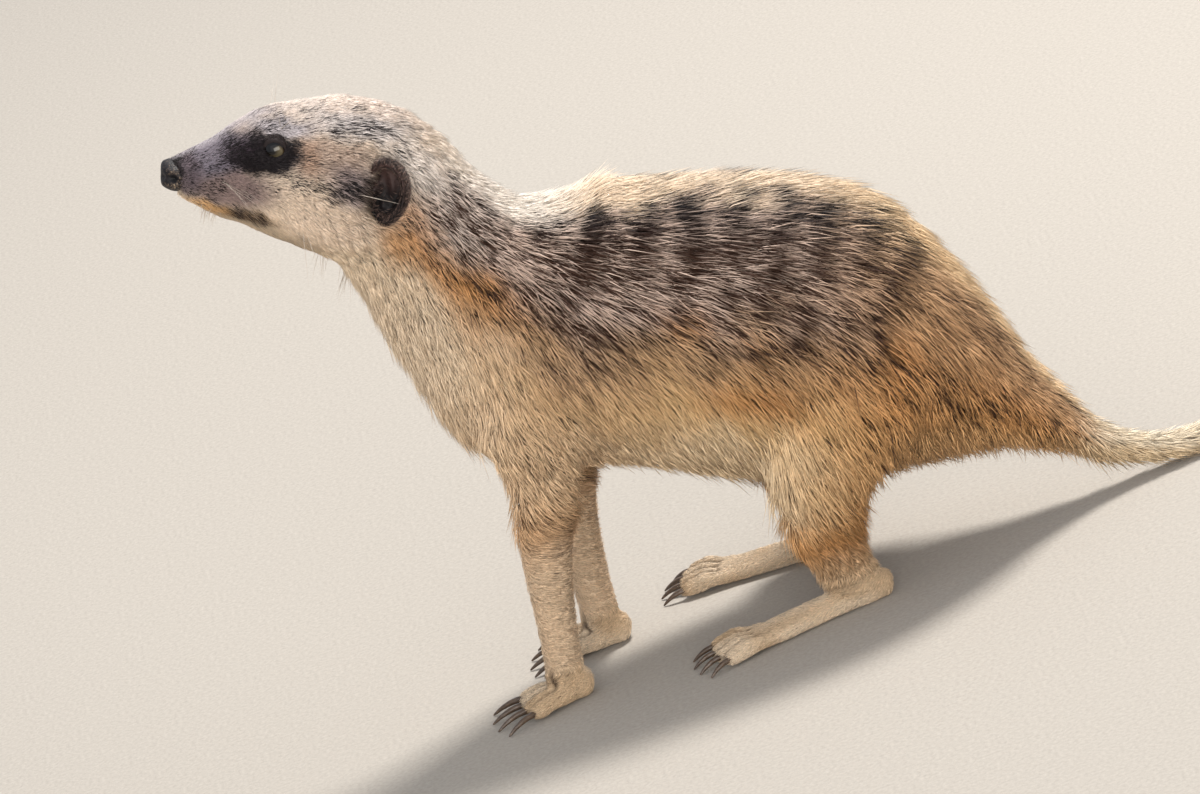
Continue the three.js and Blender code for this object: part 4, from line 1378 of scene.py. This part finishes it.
def tuft_mesh(name, root, normal, way, curve, length, width, rise, sink, draw, colours, unwrap):
    """All tufts of a piece. draw is how far each tip is pulled sideways; colours are three rows for
    root, ring and tip; unwrap is the root's place on the OFBake map."""
    across = np.cross(normal, way)
    ring_rise = rise * (1 - (1 - RING_AT) ** 2)
    ring, ring_out = along_hair(root, way, normal, curve, length * RING_AT, ring_rise)
    tip, _ = along_hair(root, way, normal, curve, length, rise)
    ring = ring + across * (draw * RING_AT**1.5)[:, None]
    tip = tip + across * draw[:, None]
    half, thick = across * width[:, None] / 2, ring_out * width[:, None]
    low, crest = ring - 0.12 * thick, ring + 0.3 * thick
    rows = [root - normal * sink[:, None], low + half, crest, low - half, tip]
    count = len(root)
    points = np.stack(rows, axis=1).reshape(-1, 3)
    points[:, 2] = np.maximum(points[:, 2], GROUND_GAP)
    faces = (FACES[None] + 5 * np.arange(count)[:, None, None]).reshape(-1, 3)
    mesh = mesh_from(name, points, faces)
    at_root, at_ring, at_tip = colours
    put_colour(mesh, np.stack([at_root, at_ring, at_ring, at_ring, at_tip], axis=1).reshape(-1, 3))
    corners = unwrap[:, None, None] + (PATCH_CORNERS[FACE_CORNERS] - 0.5)[None] * PATCH
    mesh.uv_layers.new(name="OFBake").data.foreach_set("uv", corners.astype(np.float32).ravel())
    return mesh


# %% [markdown]
# ## Growing the coat
# Roots are drawn once over the whole skin and then dealt to pieces by where they stand, so no piece's
# edge shows. Every hair is pale or dark by the share of dark hair where its own ring and tip lie, so
# the stripes stay sharp although the hairs are longer than a stripe is wide.

# %% Roots of the whole coat
# No hair grows on the eyes, on the soles or under the nose pad.
rng = np.random.default_rng(7)
density = hair_density(place)
for eye in EYES.values():
    density = density * ramp(distance(points, eye), 4.3 * MM, 4.9 * MM)
density = density * ramp(points[:, 2], 0.15 * MM, 0.6 * MM) * (1 - under_pad(points))
corners, weights = scatter(points, triangles, density, rng)
roots = place.pick(corners, weights)
roots.normal, count = unit(roots.normal), len(roots.points)
print("tufts:", count)

# %% Each hair's shape
# Guard hairs are longer, thinner and stand higher than the under hairs, and are painted lighter, the
# under hairs
# darker as painted shade beneath them: their share of the width, of the length, of the coat's depth they
# stand to, and of the painted light.
LOCK, GUARD_SHARE, STRAY = 3.4 * MM, 0.32, 0.16
GUARD, UNDER = (0.78, 1.2, 0.6, 1.04), (1.05, 0.9, 0.25, 0.84)
SHORTEST = 0.7 * MM
FLATTEST, ROUNDEST = -30.0, 90.0  # the skin's curvature that hairs follow, per metre
centre, luck = lock_centre(roots.points, LOCK, 31)
guard = rng.random(count) < GUARD_SHARE
wide, long, stand, lit = (np.where(guard, *pair) for pair in zip(GUARD, UNDER))
width = hair_width(roots) * wide
calm = 1 - 0.6 * roots.foreleg
stray = (STRAY * calm)[:, None] * rng.normal(size=(count, 3))
roots.way = laid_flat(roots.way + stray, roots.normal)
across = np.cross(roots.normal, roots.way)
# A loose hair's tip is drawn towards the middle of its lock.
loose = np.clip(calm - roots.face - roots.foot, 0, 1)
to_centre = centre - roots.points
draw = (to_centre * across).sum(axis=1) * 0.6 * loose
length = hair_length(roots) * (0.72 + 0.4 * rng.random(count)) * (0.9 + 0.2 * luck[:, 0]) * long
length = np.maximum(length + 0.4 * (to_centre * roots.way).sum(axis=1) * loose, SHORTEST)
rise = coat_depth(roots) * (stand + 0.5 * rng.random(count)) * (0.75 + 0.45 * luck[:, 1])
rise = mix(mix(rise, 1.8 * MM, chin_hair(roots)), 2.4 * MM, near_ear(roots))
rise = np.minimum(rise, 0.5 * length)
sink = np.clip(0.06 * length, 0.2 * MM, 0.6 * MM)
curve = np.clip(roots.curve, FLATTEST, ROUNDEST)
print("hair lengths from", (length.min() / MM).round(1), "to", (length.max() / MM).round(1), "mm")

# %% Each hair's colour
# Roots are painted in the shade of their neighbours: less so where the coat is soft and on the nape,
# which is painted as sunlit, and least of all under the belly, which the ground lights.
DARKEST_ROOT, SOFT_ROOT, GROUND_LIGHT = 0.3, 0.7, 0.3
EDGE, BRIGHTEST = 0.08, 0.95
hair_luck = 0.66 * rng.random(count) + 0.34 * luck[:, 2]
spread = mix(0.22, 0.5, roots.leg)
shade = lit + spread * (rng.random(count) - 0.5) + 0.16 * (luck[:, 1] - 0.5)


def hair_colour(share_along, rise_there, light):
    """Pale or dark by whether the dark share, where that much of the hair lies, beats its own luck;
    then scaled by the hair's own tone and its painted light.
    """
    reach = length * share_along
    there, _ = along_hair(roots.points, roots.way, roots.normal, curve, reach, rise_there)
    pale, dark, share = coat_colours(roots.moved(there))
    is_dark = ramp(share - hair_luck, -EDGE, EDGE)
    colour = mix_rows(pale, dark, is_dark) * (shade * light)[:, None]
    return colour * np.minimum(1, BRIGHTEST / colour.max(axis=1))[:, None]


# The ring is painted darker and the tip lighter: painted shade deep in the coat and painted light at the
# tips.
at_ring, at_tip = hair_colour(RING_AT, rise * 0.6, 0.94), hair_colour(0.9, rise, 1.14)
under = ramp(roots.angle, 1.75, 2.1)
belly = under * ramp(roots.s, S_CHEST, S_CHEST + 20 * MM) * (1 - roots.leg)
nape = ramp(roots.s, S_CHEST, S_NECK) * ramp(roots.angle, 0.7, 0.35)
soft = np.maximum.reduce([roots.head, 0.5 * roots.leg, under, nape])
root_light = mix(DARKEST_ROOT, SOFT_ROOT + GROUND_LIGHT * belly, soft)
colours = (at_ring * root_light[:, None], at_ring, at_tip)


# %% Pieces of the coat
MAP_EDGE, LEG_TOP = 0.01, 75 * MM


def on_map(along, turn):
    """Places on an unwrap, length by turn, kept a little inside its edges."""
    return MAP_EDGE + (1 - 2 * MAP_EDGE) * np.stack([np.clip(along, 0, 1), turn], axis=1)


def leg_place(points):
    """Height up the leg, and the angle round the nearest leg's own line; four legs side by side."""
    _, number, middle = beside_nearest(legs, points, "points")
    away = points - middle
    turn = np.arctan2(away[:, 1], away[:, 0]) / (2 * np.pi) + 0.5
    return on_map(points[:, 2] / LEG_TOP, (number + turn) / len(legs))


STARTS = {"muzzle": 0, "head": S_EYE + 4 * MM, "neck": S_EAR + 8 * MM, "shoulder": S_NECK + 8 * MM}
STARTS |= {"flank": (S_CHEST + S_BELLY) / 2, "hip": (S_BELLY + S_HIPS) / 2, "tail": S_TAIL - 4 * MM}
IN_HALVES = ("head", "shoulder", "flank", "hip", "foreleg")
on_right = roots.points[:, 1] > MIDDLE
on_leg, is_fore = roots.leg > 0.5, roots.foreleg >= roots.hindleg
turn = 0.5 + np.where(on_right, roots.angle, -roots.angle) / (2 * np.pi)
edges_along = [*STARTS.values(), S_TIP]
stretch = np.searchsorted(edges_along[1:-1], roots.s, side="right")
parts = {}
for number, name in enumerate(STARTS):
    low, high = edges_along[number : number + 2]
    parts[name] = (stretch == number) & ~on_leg, on_map((roots.s - low) / (high - low), turn)
on_legs = leg_place(roots.points)
parts["foreleg"] = on_leg & is_fore, on_legs
parts["hindlegs"] = on_leg & ~is_fore, on_legs
shape = (roots.points, roots.normal, roots.way, curve, length, width, rise, sink, draw)
total = 0
for part, (inside, where) in parts.items():
    halves = {"_left": ~on_right, "_right": on_right} if part in IN_HALVES else {"": True}
    for ending, half in halves.items():
        name, i = f"coat_{part}{ending}", np.nonzero(inside & half)[0]
        mesh = tuft_mesh(name, *(rows[i] for rows in shape), [rows[i] for rows in colours], where[i])
        piece(name, mesh, COAT_HAIR)
        total += len(mesh.polygons)
        print(f"{name}: {len(i)} tufts, {len(mesh.polygons)} triangles")
print("coat triangles:", total)

# %% [markdown]
# ## Fuzz on ears and lids
# The ears are covered in short dark hairs that run up and back, thickest on the rim, and the outer
# folds of the lids in very short black ones, so that neither shows a bare edge against the coat.


# %% Short tufts on a small piece
MAP_SIZE = 45 * MM


def fuzz(name, mesh, centre, axes, many, ways, length, width, tones):
    """Short tufts over a mesh: many is roots per square mm and ways their direction, for each
    vertex. Each tuft's map place is flat on the first two axes, with the far side beside it."""
    points, normals, _ = mesh_arrays(mesh)
    corners, weights = scatter(points, triangles_of(mesh), many / MM**2, rng)
    fields = (rows[corners] * weights[..., None] for rows in (points, normals, ways))
    root, normal, way = (rows.sum(axis=1) for rows in fields)
    count, normal = len(root), unit(normal)
    way = laid_flat(unit(way) + 0.3 * rng.normal(size=(count, 3)), normal)
    length = length * (0.7 + 0.6 * rng.random(count))
    rise = length * (0.12 + 0.25 * rng.random(count))
    draw = 0.2 * length * rng.normal(size=count)
    colour = mix_rows(*tones, rng.random(count) ** 2)
    flat = (root - centre) @ np.array(axes[:2]).T / MAP_SIZE
    where = flat + np.stack([np.where(normal @ axes[2] > 0, 0.25, 0.75), np.full(count, 0.5)], axis=1)
    straight, fine, sunk = (np.full(count, size) for size in (0.0, width, 0.15 * MM))
    # Root, ring and tip are painted darker to lighter: painted shade at the root and painted light at the
    # tip.
    shades = [colour * light for light in (0.5, 1.0, 1.2)]
    tufts = tuft_mesh(name, root, normal, way, straight, length, fine, rise, sunk, draw, shades, where)
    piece(name, tufts, COAT_HAIR)
    print(name, count, "tufts")


# %% Fuzz on the ears and the lids
for side, sign in SIDES.items():
    out, rear, top = ear_axes(sign)
    # The ear's rows run from the hollow's floor over the rim to the back.
    row = with_poles(np.arange(len(ears[side].vertices) - 2) // EAR_TURNS, 0, 60)
    many = np.interp(row, [0, 12, 20, 26, 60], [0.3, 0.8, 6.4, 8.0, 8.0])
    ways = np.where(row[:, None] > 20, top + 0.7 * rear + 0.2 * out, rear + 0.3 * top)
    axes, tones = (rear, top, out), (tone(30, 22, 21), tone(128, 104, 94))
    fuzz(f"ear_fuzz_{side}", ears[side], EARS[side], axes, many, ways, 2.0 * MM, 0.2 * MM, tones)
    points, _, _ = mesh_arrays(lids[side])
    # The lids' rows run from the edge on the ball over the fold and back under it.
    row = np.arange(len(points)) // LID_TURNS
    many = np.interp(row, [6, 11, 24, 26], [0, 14, 14, 0])
    ways = unit(points - EYES[side] - OPENING[side] * EYE_RADIUS) + 0.6 * HEAD_BACK
    axes = (HEAD_BACK, HEAD_UP, OPENING[side])
    tones = (tone(18, 13, 14), tone(64, 50, 50))
    fuzz(f"lid_fuzz_{side}", lids[side], EYES[side], axes, many, ways, 0.9 * MM, 0.17 * MM, tones)

# %% [markdown]
# ## Long hairs
# Whiskers on the muzzle, a few hairs over the eye and on the cheek, and bristles on the chin are
# single fine tapering tubes that start under the skin and droop.

# %% Whiskers
# Each group: how many on a side, the root's place back and up from the eye and its spread (mm), the
# way they point (back, up, out), their length and radius (mm), and how far they droop.
WHISKERS = [
    ("muzzle", 5, -13.0, -9.0, 2.8, (0.75, -0.3, 0.75), 13.0, 0.05, 0.25),
    ("brow", 3, 0.5, 5.5, 1.6, (0.1, 0.8, 0.55), 11.0, 0.06, 0.05),
    ("cheek", 2, 7.0, -19.5, 1.0, (0.12, -0.9, 0.35), 18.0, 0.08, 0.0),
    ("chin", 14, -17.5, -18.0, 2.4, (-0.3, -0.8, 0.2), 4.2, 0.09, 0.1),
    ("throat", 12, 12.0, -40.0, 5.0, (-0.15, -0.85, 0.4), 8.0, 0.09, 0.15),
]
WHISKER_POINTS, UNDER_SKIN = 8, -0.05
FAR_SIDE = 100  # mm added to places on the head's other side, so that none is chosen there


def tapered(thick, t):
    """A whisker's radius along it: thick (1.05 - t)^0.7, almost a point at its end."""
    return thick * MM * (1.05 - t[:, 0]) ** 0.7


skin_points, _, _ = mesh_arrays(skin_mesh)
place_in_head = (skin_points - EYE) @ np.stack([HEAD_BACK, HEAD_UP], axis=1) / MM
t = np.linspace(UNDER_SKIN, 1, WHISKER_POINTS)[:, None]
paths, radii = [], []
for _, many, back, rise_up, spread, way, long, thick, droop in WHISKERS:
    for sign in np.repeat([*SIDES.values()], many):
        want = np.array([back, rise_up]) + spread * rng.uniform(-1, 1, 2)
        off = distance(place_in_head, want)
        off = off + np.where((skin_points[:, 1] - MIDDLE) * sign < 0, FAR_SIDE, 0)
        heading = way[0] * HEAD_BACK + way[1] * HEAD_UP + way[2] * sign * ACROSS
        heading = unit(heading + 0.18 * rng.normal(size=3))
        reach = long * MM * (0.7 + 0.5 * rng.random())
        bend = droop * np.clip(t, 0, 1) ** 2 * DOWN
        paths.append(skin_points[off.argmin()] + reach * (heading * t + bend))
        radii.append(tapered(thick, t))
# One long hair crosses the left ear, 12 mm from front to rear and 4.6 mm out from it.
out, rear, top = ear_axes(SIDES["left"])
t = np.linspace(0, 1, WHISKER_POINTS)[:, None]
paths.append(EARS["left"] + (rear * (12 * t - 6) + out * 4.6 - top * 2) * MM)
radii.append(tapered(0.09, t))
finish = Finish("whisker_horn", Roughness=0.45, Specular_IOR_Level=0.4)
horn = finish.blend(tone(120, 100, 84), tone(236, 226, 212), finish.grain(2.5 * MM))
WHISKER_HORN = finish.shade(Base_Color=horn)
whiskers = mesh_from("whiskers", *tubes(np.array(paths), np.array(radii), 5))
piece("whiskers", whiskers, WHISKER_HORN)
print("whiskers:", len(paths))

# %% [markdown]
# ## Camera, floor and light
# The camera looks along +Y from the animal's left, a little down, and is turned about its own axis,
# so the level floor of the model still meets the animal at the angle of the slope it stood on.

# %% Camera
ROLL, ELEVATION = math.radians(19.5), math.radians(17)
DISTANCE, WIDTH = 2.6, 0.320
AIM_BACK, AIM_HEIGHT = 0.09026, 0.0718
forward = Vector((0, math.cos(ELEVATION), -math.sin(ELEVATION)))
level_up = Vector((0, math.sin(ELEVATION), math.cos(ELEVATION)))
right = math.cos(ROLL) * Vector((1, 0, 0)) - math.sin(ROLL) * level_up
up = right.cross(forward)
target = Vector((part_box("nose")[0][0] + AIM_BACK, MIDDLE, AIM_HEIGHT))
camera = add_object("camera", bpy.data.cameras.new("camera"))
camera.data.lens = camera.data.sensor_width * DISTANCE / WIDTH
turn = Matrix((right, up, -forward)).transposed().to_4x4()
camera.matrix_world = Matrix.Translation(target - forward * DISTANCE) @ turn
bpy.context.scene.camera = camera

# %% Floor and light
FLOOR = 4.0
corners = np.array([[-1, -1, 0], [1, -1, 0], [1, 1, 0], [-1, 1, 0]]) * FLOOR
floor_mesh = mesh_from("floor", corners, np.array([[0, 1, 2, 3]]))
floor = add_object("floor", floor_mesh)
finish = Finish("studio_floor", Roughness=0.95, Specular_IOR_Level=0.1)
sand = finish.grain(1.2 * MM, 5.0)
pale_floor = finish.blend((0.3, 0.275, 0.245, 1), (0.46, 0.425, 0.38, 1), sand)
floor_mesh.materials.append(finish.shade(Base_Color=pale_floor, Normal=finish.bump(sand, 0.2 * MM)))
world = bpy.data.worlds.new("world")
bpy.context.scene.world = world
world.use_nodes = True
world.node_tree.nodes["Background"].inputs["Color"].default_value = (0.92, 0.95, 1, 1)
world.node_tree.nodes["Background"].inputs["Strength"].default_value = 0.7


LIT_POINT = (-0.05, MIDDLE, 0.08)


def lamp(name, place, size, power, colour):
    """A square soft light at a place, aimed at the middle of the animal."""
    light = bpy.data.lights.new(name, "AREA")
    light.size, light.energy, light.color = size, power, colour
    thing = add_object(name, light)
    thing.location = place
    aim = Vector(LIT_POINT) - Vector(place)
    thing.rotation_euler = aim.to_track_quat("-Z", "Y").to_euler()


# A wide soft light from the side, a small sun over the back and a low one under the belly.
lamp("key", (-0.75, -1.9, 0.9), 2.2, 8, (1, 0.97, 0.95))
lamp("sun", (0.5, 0.65, 1.7), 0.4, 52, (1, 0.97, 0.93))
lamp("low", (0.0, -1.7, 0.2), 1.3, 34, (1, 0.96, 0.9))
bpy.context.scene.view_settings.view_transform = "Standard"
